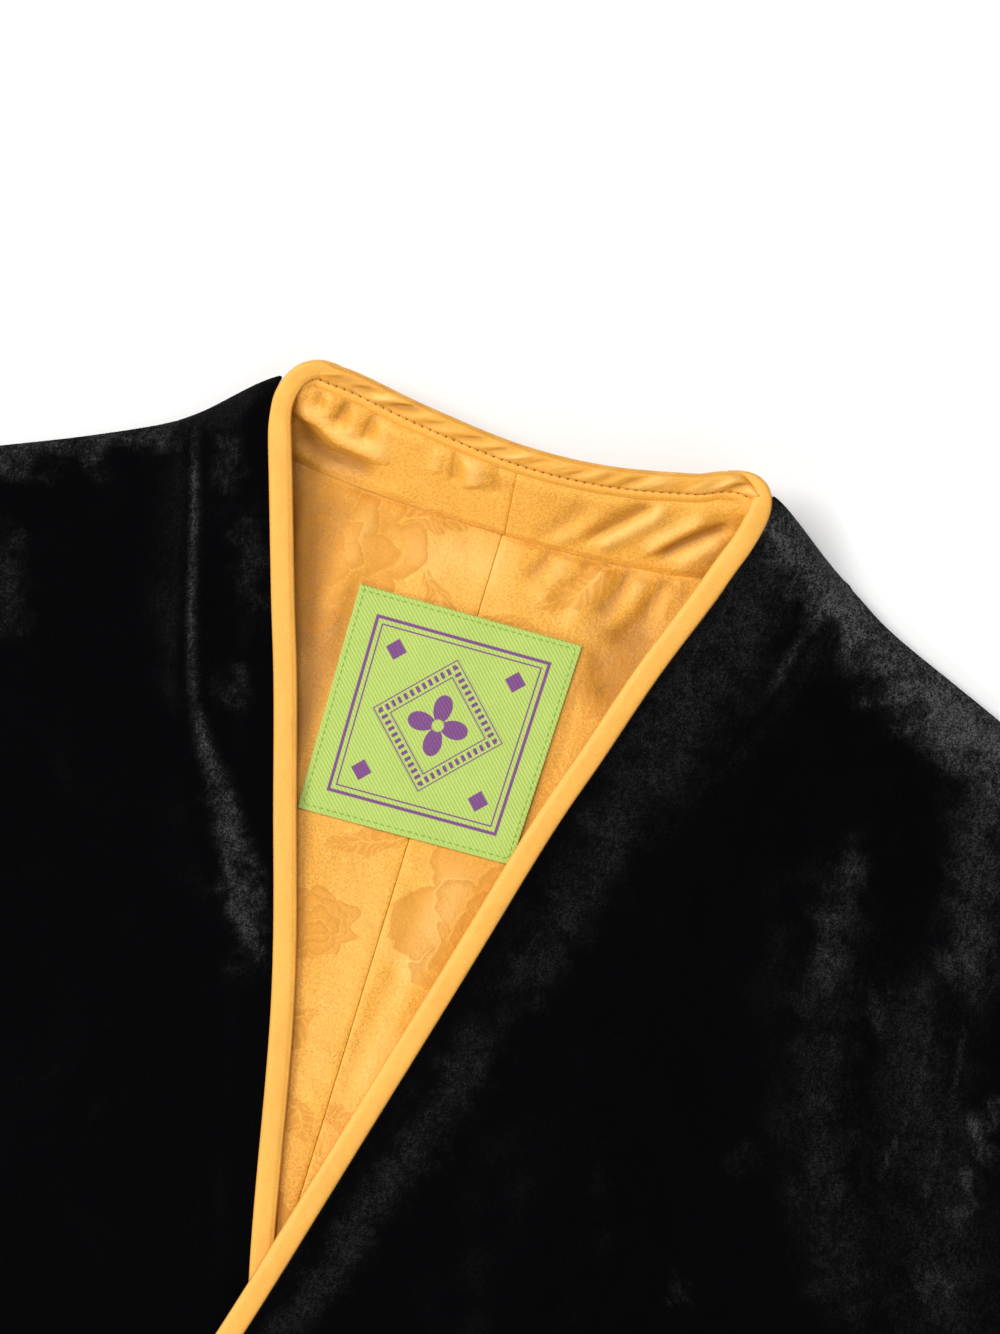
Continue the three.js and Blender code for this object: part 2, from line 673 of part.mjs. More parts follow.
add("back", wall(backRows, VELVET), BLACK_VELVET);
add("front_right", wall(frontRightRows, FRONT_WALL), BLACK_VELVET);
add("front_left", wall(frontLeftRows, FRONT_WALL), BLACK_VELVET);
add("collar_outer", wall(outerCollar, VELVET), BLACK_VELVET);
add("collar_inner_right", wall(innerCollarRight, SATIN), GOLD_SATIN);
add("collar_inner_left", wall(innerCollarLeft, SATIN), GOLD_SATIN);
add("lining_right", wall(liningRows(-1), SATIN), GOLD_SATIN);
add("lining_left", wall(liningRows(1), SATIN), GOLD_SATIN);
add("binding", strip(bindingFrames(), BINDING_WIDTH, BINDING_DEPTH), GOLD_SATIN);
add("label", wall(labelRows(), LABEL_WALL), LIME_TWILL);

BUTTON_DOWNS.forEach((down, i) => {
  const button = add(`button_${i + 1}`, buttonGeometry(), BLACK_VELVET);
  const under = leftHeight(CENTRE_FRONT, down) + FRONT_WALL / 2;
  button.position.set(CENTRE_FRONT, -down, under + BUTTON.gap);
});

// The origin is under the middle of the laid-out garment
const box = new THREE.Box3().setFromObject(garment);
const middle = box.getCenter(new THREE.Vector3());
garment.position.set(-middle.x, -middle.y, -box.min.z);

export default gilet;
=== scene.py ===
import math

import bpy
import numpy as np
from bpy.props import FloatProperty, FloatVectorProperty, PointerProperty
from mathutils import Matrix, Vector


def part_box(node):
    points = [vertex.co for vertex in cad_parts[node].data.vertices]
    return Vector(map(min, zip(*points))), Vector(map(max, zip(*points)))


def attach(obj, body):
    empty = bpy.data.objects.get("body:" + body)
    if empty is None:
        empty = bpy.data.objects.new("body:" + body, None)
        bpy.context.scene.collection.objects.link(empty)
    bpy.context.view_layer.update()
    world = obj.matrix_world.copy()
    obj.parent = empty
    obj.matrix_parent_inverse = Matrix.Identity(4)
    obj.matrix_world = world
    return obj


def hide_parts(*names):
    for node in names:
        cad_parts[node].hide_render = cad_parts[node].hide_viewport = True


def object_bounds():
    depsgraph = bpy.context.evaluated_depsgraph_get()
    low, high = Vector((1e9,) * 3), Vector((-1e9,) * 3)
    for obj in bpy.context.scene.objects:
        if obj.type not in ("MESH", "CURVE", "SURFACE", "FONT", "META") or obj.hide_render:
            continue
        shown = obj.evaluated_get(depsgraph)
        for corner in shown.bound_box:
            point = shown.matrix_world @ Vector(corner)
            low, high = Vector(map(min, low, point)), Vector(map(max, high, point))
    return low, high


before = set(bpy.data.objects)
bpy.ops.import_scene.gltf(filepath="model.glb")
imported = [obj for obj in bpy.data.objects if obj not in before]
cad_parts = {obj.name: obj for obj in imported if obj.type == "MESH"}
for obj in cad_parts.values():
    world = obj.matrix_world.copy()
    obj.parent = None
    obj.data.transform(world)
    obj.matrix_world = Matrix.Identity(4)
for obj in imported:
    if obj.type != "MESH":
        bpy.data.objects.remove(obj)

bl_info = {
    "name": "Velvet Gilet",
    "version": (1, 0, 0),
    "blender": (4, 5, 0),
    "location": "View3D > Sidebar > Gilet",
    "description": "Builds a satin-bound velvet gilet laid flat, over its packed frame",
    "category": "Object",
}

CAD_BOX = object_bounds()
MM = 0.001
FULL_TURN = 2 * math.pi

# Sizes of the cut, in millimetres
VELVET = 1.6
FRONT_WALL = 2.0
SATIN = 1.0
LABEL_WALL = 0.8
SEAM_GAP = 0.3
BINDING_WIDTH = 7.0
BINDING_DEPTH = 3.4
LENGTH = 598.0
HEM_DOWN = LENGTH - 2.0
HALF_HEM = 250.0
HEM_CURVE = 8.0
CENTRE_FRONT = -4.0
OVERLAP = 22.0
CLOSING_DOWN = 228.0
CENTRE_BACK = -1.5
LINING_INSET = 12.0
HEM_INSET = 18.0
NECK_RISE, NECK_FADE, NECK_WIDTH, NECK_SPREAD = 13.0, 75.0, 23.0, 0.22
COLLAR_RISE, COLLAR_DIP = 14.2, 1.6
LAP_LIFT, LAP_RAMP = 5.6, 34.0
FOLD_WIDTH = 7.0
PUFF, PUFF_WIDTH = 2.6, 60.0
BUTTONS = 4
LABEL_SIDE = 63.0
COLLAR_ARC, COLLAR_DEPTH = 178.0, 26.0

# The table's zero in the frame: the hem's lowest point is the box's lowest y
ZERO_Y = CAD_BOX[0].y / MM + HEM_DOWN
ZERO_X = (CAD_BOX[0].x + CAD_BOX[1].x) / 2 / MM

# Outlines, (x, down) points of smooth curves
LAP_UNDER, LAP_OVER = CENTRE_FRONT + OVERLAP, CENTRE_FRONT - OVERLAP
EDGE_UNDER = [
    (-70.3, -4.9), (-70.6, 1), (-69.3, 11), (-65.6, 23), (-56, 53), (-49, 74), (-40, 104), (-24.5, 157),
    (-9, CLOSING_DOWN), (8, 290), (LAP_UNDER, 350), (LAP_UNDER, 430), (LAP_UNDER, HEM_DOWN),
]
EDGE_OVER = [
    (65, -12.6), (65.1, -3), (58.9, 18), (50, 43), (42.5, 68), (34.8, 93), (22.3, 142),
    (-0.5, CLOSING_DOWN), (-17, 290), (LAP_OVER, 350), (LAP_OVER, 430), (LAP_OVER, HEM_DOWN),
]
NECK_SEAM = [(-89, 11), (-62.5, 15), (-39, 17), (-1, 17.6), (29, 16.4), (54, 13), (86.5, 1.2)]
COLLAR_TOP = [(-69, -4.5), (-62, -6), (-54, -6), (-31, -2.4), (-2, 0), (26, -2.2), (57, -9.8), (64, -12.5)]
SHOULDER_RIGHT = [(-70.3, -4.9), (-78, 1.4), (-89, 11), (-98, 17), (-117, 26), (-138, 35), (-183, 54)]
SHOULDER_LEFT = [(65.0, -12.6), (74, -7), (86.5, 1.2), (96, 7), (109, 14), (141, 27), (180, 44)]
ARMHOLE_FRONT = [(179, 95), (181, 140), (193, 186), (213, 217)]
ARMHOLE_BACK = [(184, 95), (187, 140), (198, 183), (217, 215)]
SIDE_SEAM = [(238, 234), (237, 300), (233, 380), (239, 470), (HALF_HEM, HEM_DOWN - HEM_CURVE)]
# The binding's line where it turns a neck corner and runs out over the collar: (x, down, inner reach)
TURN_RIGHT = [
    (-65.4, 11, 2.6), (-67.4, 3, 2.2), (-66.3, -3, 1.7), (-64.9, -6, 1.4), (-62.6, -8.2, 1.3),
    (-58.5, -9.3, 0.9), (-53, -8, 0),
]
TURN_LEFT = [
    (59.8, 4, 2.6), (61.9, -5, 2.6), (62, -9.5, 2.2), (61, -12.1, 1), (59, -13.6, -0.4),
    (56.2, -13.9, -2.4), (53, -13.1, -3.4),
]
# The wider strip inside the collar, from under one corner to under the other
STRIP_START = [(-66.6, -6.2), (-64.2, -8.0), (-61.5, -9.5)]
STRIP_END = [(50.5, -11.9), (54.6, -13.0), (58.4, -12.9), (61.4, -11.8)]
LABEL_CORNERS = {
    "top_left": (-34.4, 42), "top_right": (28.1, 40.5), "low_left": (-33, 105), "low_right": (27, 103),
}


def ridge(height, width, *path):
    """One soft ridge, or a trough where height is negative."""
    return {"height": height, "width": width, "path": path}


def fold(height, above, below, *path):
    """One fold whose slopes differ, with their widths above and below a path that runs to the right."""
    return {"height": height, "width": above, "below": below, "path": path}


def streak(amount, start, end, *path):
    """A grey patch along a path, partly crushed pile and partly painted sheen, with its half widths at the path's
    two ends.
    """
    return {"amount": amount, "start": start, "end": end, "path": path}


# Largest folds, which the solids have too, and the finer creases of the lining
RIDGES_RIGHT = [
    ridge(2.2, 7, (-84, 32), (-74, 70), (-66, 96), (-50, 125), (-34, 146)),
    ridge(1.2, 6, (-92, 22), (-137, 42), (-176, 60)),
    ridge(3.0, 14, (-150, 70), (-142, 140), (-118, 215)),
    ridge(3.0, 15, (-52, 175), (-84, 235), (-104, 320)),
    ridge(4.0, 18, (-212, 250), (-158, 330), (-128, 450)),
    ridge(4.0, 20, (-54, 360), (-82, 480), (-70, 640)),
    ridge(3.0, 15, (-196, 420), (-186, 520), (-200, 640)),
]
RIDGES_LEFT = [
    ridge(2.0, 6, (86, 12), (78, 44), (68, 63), (50, 97)),
    ridge(1.2, 6, (92, 16), (111, 26), (150, 44)),
    ridge(4.5, 13, (114, 62), (114, 103), (122, 134), (133, 165), (166, 205)),
    ridge(2.6, 8, (134, 42), (153, 74), (150, 121), (146, 146)),
    ridge(4.0, 16, (70, 150), (62, 205), (76, 270)),
    ridge(4.5, 18, (212, 250), (156, 320), (140, 440)),
    ridge(4.0, 20, (66, 330), (92, 430), (80, 640)),
    ridge(3.0, 14, (200, 430), (190, 520), (206, 640)),
]
RIDGES_LINING = [
    ridge(1.3, 4, (42, 17), (34, 27), (30, 40)),
    ridge(1.0, 3, (22, 19), (17, 27), (15, 36)),
    ridge(1.2, 4, (54, 16), (52, 30), (44, 46)),
    ridge(1.0, 5, (-52, 20), (-56, 40), (-50, 70)),
]
CREASES_LINING = [
    fold(-1.5, 1.0, 2.0, (29, 31), (31.5, 26), (33.4, 21), (33.8, 15)),
    fold(-1.5, 1.0, 2.2, (40, 30), (42.6, 22), (44.8, 14)),
    fold(-1.2, 0.9, 1.4, (48.2, 28), (48.9, 21), (48.8, 13)),
    fold(-1.1, 1.1, 2.4, (8, 28), (10.6, 22), (13.4, 16)),
    fold(-0.8, 1.0, 2.0, (19, 27), (21.4, 21), (22.8, 16)),
    fold(1.2, 2.6, 1.6, (33, 36), (37.2, 26), (39.4, 15)),
    fold(1.0, 2.6, 1.6, (22, 38), (26, 26), (28.4, 15)),
    fold(0.9, 1.4, 1.2, (46, 28), (46.9, 21), (47, 14)),
    fold(-0.8, 3.0, 3.0, (30, 38), (34, 45), (40.5, 53)),
    fold(-0.7, 2.5, 3.0, (33, 36), (38, 34), (44, 31)),
    fold(-0.6, 3.0, 3.0, (12, 27), (17, 29.5), (23, 31)),
    fold(-1.0, 1.6, 1.2, (27.5, 108), (29, 75), (29.8, 46)),
    fold(0.8, 3.0, 2.2, (13, 34), (16.5, 24), (18, 16)),
    fold(-1.4, 4.0, 5.0, (-44, 66), (-47.5, 40), (-47, 20)),
    fold(-1.0, 1.8, 2.2, (-56.4, 46), (-57.6, 34), (-57, 20)),
    fold(0.8, 3.0, 3.0, (-40, 52), (-38, 34), (-37, 17)),
    fold(-0.7, 5.0, 5.0, (-22, 210), (-36, 150), (-46, 110)),
    fold(0.8, 6.0, 6.0, (-14, 220), (-26, 150), (-32, 108)),
    fold(0.7, 5.0, 5.0, (3, 180), (12, 135), (18, 108)),
    fold(-0.6, 3.0, 3.0, (0, 190), (5, 140), (7, 108)),
]
# Where the lining lies turned to the light, and below zero where it lies away from it
LINING_SHEEN = [
    ridge(0.55, 8, (-26, 34), (-14, 28), (6, 24)),
    ridge(0.28, 6, (-20, 108), (-10, 140), (-8, 190)),
    ridge(0.62, 7, (12, 104), (12, 118), (4, 142)),
    ridge(-0.55, 5, (-31, 110), (-27, 150), (-22, 200)),
    ridge(-0.40, 4, (24, 104), (18, 130), (8, 160)),
    ridge(-0.85, 8, (24, 29), (41, 37), (33, 58)),
    ridge(-0.80, 4, (-36, 38), (-36, 50), (-38, 74), (-40, 98)),
]
# Creases of the collar's satin facing
COLLAR_CREASES = [
    fold(
        1.5, 3.2, 1.5,
        (-67, 0.2), (-61.5, 1.9), (-57.1, 2.8), (-53.3, 4.8), (-49.9, 6.0), (-44, 6.6), (-38, 7.6),
    ),
    fold(-1.9, 2.0, 3.4, (-64, 5), (-60.5, 6.6), (-57, 8.6), (-53, 10.4), (-46, 11), (-38, 11.6)),
    fold(-1.2, 1.4, 2.5, (-53.6, 3), (-52.1, -1), (-50.8, -5)),
    fold(0.6, 1.8, 1.6, (-48.6, 4.5), (-48.8, -0.7), (-48.4, -4)),
    fold(-1.1, 1.4, 2.3, (-44.8, 5), (-44, -0.5), (-43, -4)),
    fold(-0.6, 1.5, 1.8, (-58.6, 0), (-58.8, -3), (-59.2, -6)),
    fold(0.6, 1.4, 1.4, (-55.8, 1), (-56, -2.4), (-56.2, -5)),
    fold(0.6, 2.4, 2.4, (-38, 9), (-39.4, 3), (-39.6, -2)),
    fold(0.5, 1.8, 1.8, (-23.4, 7), (-24.2, 4), (-24.8, 1)),
    fold(-0.8, 0.9, 2.2, (-18.4, 8.2), (-19.3, 3.8), (-19.8, -0.4)),
    fold(1.1, 3.0, 3.0, (-12.2, 7.8), (-13.6, 4), (-14.4, 0)),
    fold(-0.8, 2.4, 0.9, (-5.4, 8), (-6.9, 4), (-8.3, -0.6)),
    fold(-0.6, 3.0, 2.0, (6, 16), (11, 12.6), (15, 8), (19, 3.2)),
    fold(0.5, 2.4, 2.0, (11, 16), (17, 11.5), (24, 4)),
    fold(-1.5, 2.8, 1.2, (20, 13), (24.4, 9.1), (28.5, 5.3), (32.4, 1.2), (36, -2.4)),
    fold(1.3, 1.2, 2.8, (22, 14), (28.4, 8.2), (34.6, 2.5), (39, -2.6)),
    fold(1.2, 2.4, 1.2, (36, 11.6), (40.3, 6.8), (45.2, 2.0), (50, -3)),
    fold(-2.3, 1.5, 1.9, (40, 11.4), (43.7, 7.6), (47.9, 4.0), (51.6, 0.9), (57, -2.6)),
    fold(0.9, 1.8, 2.6, (45, 12.4), (51, 6.8), (56, 1.0)),
]
# Grey patches on the velvet: crushed pile in places, and painted sheen along the shoulder rims, the darts and the
# larger folds
NAP_AND_SHEEN_RIGHT = [
    streak(0.75, 5, 4, (-160, 45), (-144, 38), (-131, 33), (-118, 28)),
    streak(0.50, 4, 3, (-119, 29), (-104, 22), (-92, 15)),
    streak(0.62, 1.1, 1.1, (-89, 15), (-83, 34), (-76, 60), (-67, 88)),
    streak(0.95, 1.0, 2.6, (-68, 85), (-61, 97), (-54, 106)),
    streak(0.80, 2.6, 4.2, (-56, 104), (-45, 122), (-33, 147)),
    streak(0.30, 3, 3, (-81, 17), (-74, 26)),
    streak(0.26, 3, 3, (-68, 33), (-59, 60)),
    streak(0.22, 3, 3, (-60, 74), (-56, 82)),
    streak(0.25, 4, 4, (-131, 57), (-121, 82)),
    streak(0.35, 9, 9, (-190, 110), (-182, 190)),
    streak(0.24, 10, 16, (-176, 262), (-158, 320), (-130, 392), (-112, 470)),
    streak(0.18, 10, 17, (-56, 350), (-72, 440), (-62, 560)),
    streak(0.16, 9, 13, (-212, 410), (-196, 500), (-208, 580)),
]
NAP_AND_SHEEN_LEFT = [
    streak(0.27, 10, 9, (71, -8), (67, 21), (60, 46), (52, 80)),
    streak(0.24, 7, 5.5, (54, 72), (44, 112), (36, 142)),
    streak(0.25, 5.5, 4.5, (35, 144), (24, 183), (11, 224), (2, 250)),
    streak(1.80, 9, 7, (66, -13), (76, -5), (88, 5), (104, 16)),
    streak(1.70, 7, 8, (78, 0), (92, 9), (106, 17.5), (124, 26)),
    streak(2.00, 7, 9, (108, 19), (119, 24), (131, 29.5), (144, 34), (170, 42)),
    streak(0.55, 1.4, 1.4, (84.5, 17), (80, 36)),
    streak(0.42, 3.6, 5, (115, 71), (115, 95), (118, 118)),
    streak(0.22, 5, 8, (118, 115), (125, 141), (137, 167), (153, 191)),
    streak(0.19, 9, 15, (136, 98), (151, 130), (165, 162), (181, 200)),
    streak(0.45, 6, 6, (141, 40), (149, 74), (156, 104)),
    streak(0.75, 3.5, 3.5, (166, 128), (172, 142)),
    streak(0.65, 2.2, 2.2, (169, 147), (172, 160)),
    streak(0.50, 3.5, 3.5, (165, 175), (175, 179)),
    streak(0.45, 2.4, 2.4, (128, 104), (136, 119)),
    streak(0.45, 0.8, 0.8, (148, 112), (149, 133), (146, 156)),
    streak(0.35, 0.8, 0.8, (156, 107), (159, 130), (160, 162)),
    streak(0.14, 2, 2, (101, 199), (107, 204)),
    streak(0.10, 3, 3, (107, 159), (113, 163)),
    streak(0.26, 15, 10, (194, 250), (170, 318), (150, 402)),
    streak(0.15, 12, 18, (82, 340), (100, 430), (86, 560)),
    streak(0.18, 8, 14, (206, 452), (190, 540), (200, 590)),
]


# Curves, patches and heights
def smooth(value):
    """A soft step from 0 to 1 as the value goes from 0 to 1."""
    value = np.clip(value, 0.0, 1.0)
    return value * value * (3 - 2 * value)


def mix(a, b, t):
    """From a where t is 0 to b where it is 1."""
    return a + (b - a) * t


def mirrored(rows):
    return [(-x, down) for x, down in rows]


class Curve:
    """A smooth curve through (x, down) rows, read by its share of length."""

    def __init__(self, rows, samples=40):
        rows = np.array(rows, float)
        rows[:, 1] *= -1
        before = 2 * rows[0] - rows[1]
        after = 2 * rows[-1] - rows[-2]
        knots = np.vstack([before, rows, after])
        t = np.linspace(0, 1, samples, endpoint=False)[:, None]
        spans = []
        for a, b, c, d in zip(knots, knots[1:], knots[2:], knots[3:]):
            bend = (2 * a - 5 * b + 4 * c - d) * t + (3 * (b - c) + d - a) * t * t
            spans.append(b + 0.5 * t * ((c - a) + bend))
        self.points = np.vstack(spans + [rows[-1:]])
        lengths = np.linalg.norm(np.diff(self.points, axis=0), axis=1)
        self.along = np.concatenate([[0], np.cumsum(lengths)])
        self.length = self.along[-1]

    def at(self, share):
        where = np.clip(share, 0, 1) * self.length
        return np.stack([np.interp(where, self.along, self.points[:, k]) for k in (0, 1)], -1)

    def nearest(self, x, y, count=160):
        """Distance from each point to the curve, and the share of length where it is met."""
        return self.measure(x, y, count)[:2]

    def measure(self, x, y, count):
        """As nearest, and 1 where a point lies to the left of the curve as it runs, -1 to its right."""
        shares = np.linspace(0, 1, count + 1)
        best = np.full(np.shape(x), np.inf)
        where, beside = np.zeros(np.shape(x)), np.ones(np.shape(x))
        points = self.at(shares)
        for i in range(count):
            a, b = points[i], points[i + 1]
            d = b - a
            t = np.clip(((x - a[0]) * d[0] + (y - a[1]) * d[1]) / (d @ d), 0, 1)
            distance = np.hypot(x - a[0] - t * d[0], y - a[1] - t * d[1])
            closer = distance < best
            best = np.where(closer, distance, best)
            where = np.where(closer, (i + t) / count, where)
            beside = np.where(closer, np.sign(d[0] * (y - a[1]) - d[1] * (x - a[0])), beside)
        return best, where, beside


def line(a, b):
    """A straight edge between two (x, down) points."""
    return Curve([a, b])


def patch(top, bottom, left, right, us, vs):
    """Points of a four-sided patch between four curves, row by row."""
    u, v = np.array(us)[None, :, None], np.array(vs)[:, None, None]
    sides = (1 - u) * left.at(vs)[:, None] + u * right.at(vs)[:, None]
    ends = (1 - v) * top.at(us)[None] + v * bottom.at(us)[None]
    a, b, c, d = (curve.at(s) for curve, s in ((top, 0.0), (top, 1.0), (bottom, 0.0), (bottom, 1.0)))
    return sides + ends - ((1 - u) * (1 - v) * a + u * (1 - v) * b + (1 - u) * v * c + u * v * d)


def body_patch(outline, us, upper, lower):
    """Points of a panel in two patches, above and below the level where the lap closes."""
    left, right = outline["left"], outline["right"]
    above = patch(outline["top"], outline["level"], left[0], right[0], us, upper)
    below = patch(outline["level"], outline["hem"], left[1], right[1], us, lower)
    return np.vstack([above, below[1:]])


def ridges_at(ridges, x, y):
    """Summed height of soft ridges that thin out towards both ends of their paths."""
    total = np.zeros(np.shape(x))
    for row in ridges:
        distance, where, beside = Curve(row["path"]).measure(x, y, 24)
        taper = smooth(4 * np.minimum(where, 1 - where) + 0.15)
        width = np.where(beside > 0, row["width"], row.get("below", row["width"]))
        total += row["height"] * np.exp(-((distance / width) ** 2)) * taper
    return total


def shade_of(ridges, x, y, full):
    """From 1 deep in a trough to -1 on a ridge, both reached at a given height."""
    return np.clip(-ridges_at(ridges, x, y) / full, -1, 1)


def ripple(x, y, wavelength, seed, count=14):
    """A smooth random field of about unit height, from waves that cross at seeded angles."""
    draw = np.random.default_rng(seed)
    x, y = np.broadcast_arrays(x, y)
    total = np.zeros(x.shape)
    for _ in range(count):
        angle, phase = draw.uniform(0, 2 * np.pi, 2)
        number = 2 * np.pi / (wavelength * draw.uniform(0.7, 1.5))
        total += np.cos(number * (x * np.cos(angle) + y * np.sin(angle)) + phase)
    return total / math.sqrt(count / 2)


def edge_across(rows, y):
    """Where an edge lies across at each height y."""
    points = Curve(rows).points
    order = np.argsort(points[:, 1])
    return np.interp(y, points[order, 1], points[order, 0])


# Middle heights of the lining, of a front that rests on it, and of a seam, and how far the neck's fold runs
LINING_MIDDLE = VELVET + SEAM_GAP + SATIN / 2
FRONT_REST = LINING_MIDDLE + SATIN / 2 + 0.8 + FRONT_WALL / 2
SEAM_HEIGHT = VELVET + SEAM_GAP + FRONT_WALL / 2
NECK_FOLD_SHARE = 0.19


def collar_lift(t):
    """Share of the collar's rise at a share of the way from the neck seam to its top."""
    return np.maximum(t, 0.0) ** 1.25


def front_height(side, x, y):
    """Middle height of a front at points of the plan, as its solid has it."""
    edge, lap = side["edge"], side["lap"]
    below = np.maximum(0, -y - edge[0][1])
    inside = np.abs(x - edge_across(edge, y))
    spread = NECK_WIDTH + NECK_SPREAD * below
    neck = NECK_RISE * np.exp(-below / NECK_FADE) * np.exp(-((inside / spread) ** 2))
    over = LAP_LIFT * smooth(1 + (edge_across(EDGE_UNDER, y) + 4 - x) / LAP_RAMP) if lap else 0.0
    top_distance, top_share = side["shoulder"].nearest(x, y)
    border = np.minimum(top_distance, side["side"].nearest(x, y)[0])
    puff = PUFF * smooth(border / PUFF_WIDTH) * smooth(inside / PUFF_WIDTH)
    # The buttons lie on a flat band of the lap
    flat = smooth((np.abs(x - CENTRE_FRONT) - 12) / 26) if lap else 1.0
    flat = np.where(-y > CLOSING_DOWN, flat, 1.0)
    folds = ridges_at(side["ridges"], x, y) * flat
    height = FRONT_REST + neck + over + puff + folds
    height = height + fine_front(side, x, y, inside, border, top_share) * flat
    seam = SEAM_HEIGHT + COLLAR_RISE * collar_lift(np.clip(1 - top_share / NECK_FOLD_SHARE, 0, 1))
    turn = np.clip(border / FOLD_WIDTH, 0, 1)
    return mix(np.minimum(seam, height), height, np.sqrt(1 - (1 - turn) ** 2))


def fine_front(side, x, y, inside, border, top_share):
    """Soft unevenness, the roll beside the binding, and the creases of the seams."""
    roll = 0.9 * np.exp(-(((inside - 6.5) / 4.5) ** 2))
    uneven = 0.55 * ripple(x, y, 46, side["seed"]) + 0.22 * ripple(x, y, 19, side["seed"] + 1)
    uneven = uneven * smooth(border / 20) * smooth(inside / 14)
    seam_line = -0.5 * np.exp(-(((border - 2.2) / 0.5) ** 2)) * smooth((top_share - NECK_FOLD_SHARE) / 0.05)
    seam_line = seam_line * (side["shoulder"].nearest(x, y)[0] < 12)
    distance, where = Curve(side["dart"]).nearest(x, y, 40)
    dart = -0.4 * np.exp(-((distance / 0.9) ** 2)) * smooth((1 - where) * 6)
    dart = dart + 0.2 * np.exp(-(((distance - 2.4) / 1.6) ** 2)) * smooth((1 - where) * 6)
    return roll + uneven + seam_line + dart


def spaced(count, bend_start=1.0, bend_end=1.0):
    """Shares from 0 to 1, closer together at an end whose bend is over 1."""
    s = np.linspace(0, 1, count + 1)
    return mix(s**bend_start, 1 - (1 - s) ** bend_end, s)


RIM_STEPS = np.array([0.0, 0.12, 0.35, 0.65, 1.0])


def rim_start(shares, length, radius=1.0):
    """Adds shares close to the start of a length, so that a wall's edge can be rounded."""
    steps = radius / length * RIM_STEPS
    return np.concatenate([steps, shares[shares > steps[-1] * 1.2]])


def rim_end(shares, length, radius=1.0):
    return 1 - rim_start(1 - shares[::-1], length, radius)[::-1]


def with_rim(shares, length, radius):
    """Adds shares close to both ends."""
    return rim_end(rim_start(shares, length, radius), length, radius)


# Meshes
def to_frame(points):
    """Points of the tables' millimetres in the frame's metres."""
    points = np.asarray(points, float)
    return (points + np.array([ZERO_X, ZERO_Y, 0.0])) * MM


def unit(rows):
    """Rows of vectors, each of length 1."""
    return rows / np.maximum(np.linalg.norm(rows, axis=-1, keepdims=True), 1e-9)


def grid_normals(points):
    return unit(np.cross(np.gradient(points, axis=0), np.gradient(points, axis=1)))


def rim_profile(points, radii):
    """1 inside a wall, falling as a quarter round to 0 at its top, bottom, left and right edges."""
    depth = np.full(points.shape[:2], np.inf)
    for axis, (first, last) in enumerate((radii[:2], radii[2:])):
        steps = np.linalg.norm(np.diff(points, axis=axis), axis=2)
        start = np.insert(np.cumsum(steps, axis=axis), 0, 0, axis=axis)
        depth = np.minimum(depth, np.minimum(start / first, (np.take(start, [-1], axis=axis) - start) / last))
    return np.sqrt(1 - (1 - np.clip(depth, 0, 1)) ** 2)


def make_object(name, vertices, faces, uvs=None, values=None):
    """A mesh object at the origin, with a UV map in millimetres of cut cloth and named point values."""
    mesh = bpy.data.meshes.new(name)
    mesh.from_pydata(to_frame(vertices).tolist(), [], faces)
    mesh.update()
    if uvs is not None:
        layer = mesh.uv_layers.new(name="cut")
        loops = np.zeros(len(mesh.loops), int)
        mesh.loops.foreach_get("vertex_index", loops)
        layer.data.foreach_set("uv", np.asarray(uvs, float)[loops].ravel())
    for key, numbers in (values or {}).items():
        layer = mesh.attributes.new(key, "FLOAT", "POINT")
        layer.data.foreach_set("value", np.asarray(numbers, float).ravel())
    mesh.polygons.foreach_set("use_smooth", [True] * len(mesh.polygons))
    return linked(mesh)


def linked(data):
    """An object in the scene that carries a mesh, light or camera, under its name."""
    thing = bpy.data.objects.new(data.name, data)
    bpy.context.scene.collection.objects.link(thing)
    return thing


def made_plain(piece):
    """Puts the result of a piece's modifiers in its place."""
    evaluated = piece.evaluated_get(bpy.context.evaluated_depsgraph_get())
    plain = bpy.data.meshes.new_from_object(evaluated)
    piece.modifiers.clear()
    piece.data = plain
    return plain


def cloth_wall(name, points, thickness, uvs, values=None, radii=None):
    """A closed wall of cloth round a grid of middle points, with rounded edges."""
    rows, columns = points.shape[:2]
    normals = grid_normals(points)
    half = thickness / 2 * rim_profile(points, radii or [thickness / 2] * 4)
    upper = points + normals * half[..., None]
    lower = points - normals * half[..., None]
    count = rows * columns
    index = np.arange(count).reshape(rows, columns)
    quads = np.stack([index[:-1, :-1], index[1:, :-1], index[1:, 1:], index[:-1, 1:]], -1).reshape(-1, 4)
    edge = np.concatenate([index[0, :], index[1:, -1], index[-1, -2::-1], index[-2:0:-1, 0]])
    on_edge = np.zeros(count, bool)
    on_edge[edge] = True
    # The edge's points are shared by the two faces, because the wall has no depth there
    low_index = np.where(on_edge, np.arange(count), count + np.cumsum(~on_edge) - 1)
    faces = quads.tolist() + low_index[quads[:, ::-1]].tolist()
    vertices = np.vstack([upper.reshape(-1, 3), lower.reshape(-1, 3)[~on_edge]])

    def doubled(numbers):
        numbers = np.asarray(numbers).reshape(count, -1)
        return np.concatenate([numbers, numbers[~on_edge]])

    values = {key: doubled(numbers) for key, numbers in (values or {}).items()}
    return make_object(name, vertices, faces, doubled(uvs), values)


def swept(rings):
    """Vertices and faces of a closed strip through rings of points that turn the same way."""
    count, sides = rings.shape[:2]
    index = np.arange(count * sides).reshape(count, sides)
    after = np.roll(index, -1, axis=1)
    faces = np.stack([index[:-1], after[:-1], after[1:], index[1:]], -1).reshape(-1, 4).tolist()
    return rings.reshape(-1, 3), faces + [index[0, ::-1].tolist(), index[-1].tolist()]


def finish_piece(piece, replaced, material):
    """Gives a piece its material, hangs it under the root body and hides the part it stands for."""
    piece.data.materials.append(material)
    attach(piece, "root")
    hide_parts(replaced)


# Outlines of the body panels
def hem(left, right):
    """The hem's curve between two places across."""
    xs = np.linspace(left, right, 7)
    return Curve([(x, HEM_DOWN - HEM_CURVE * (x / HALF_HEM) ** 2) for x in xs])


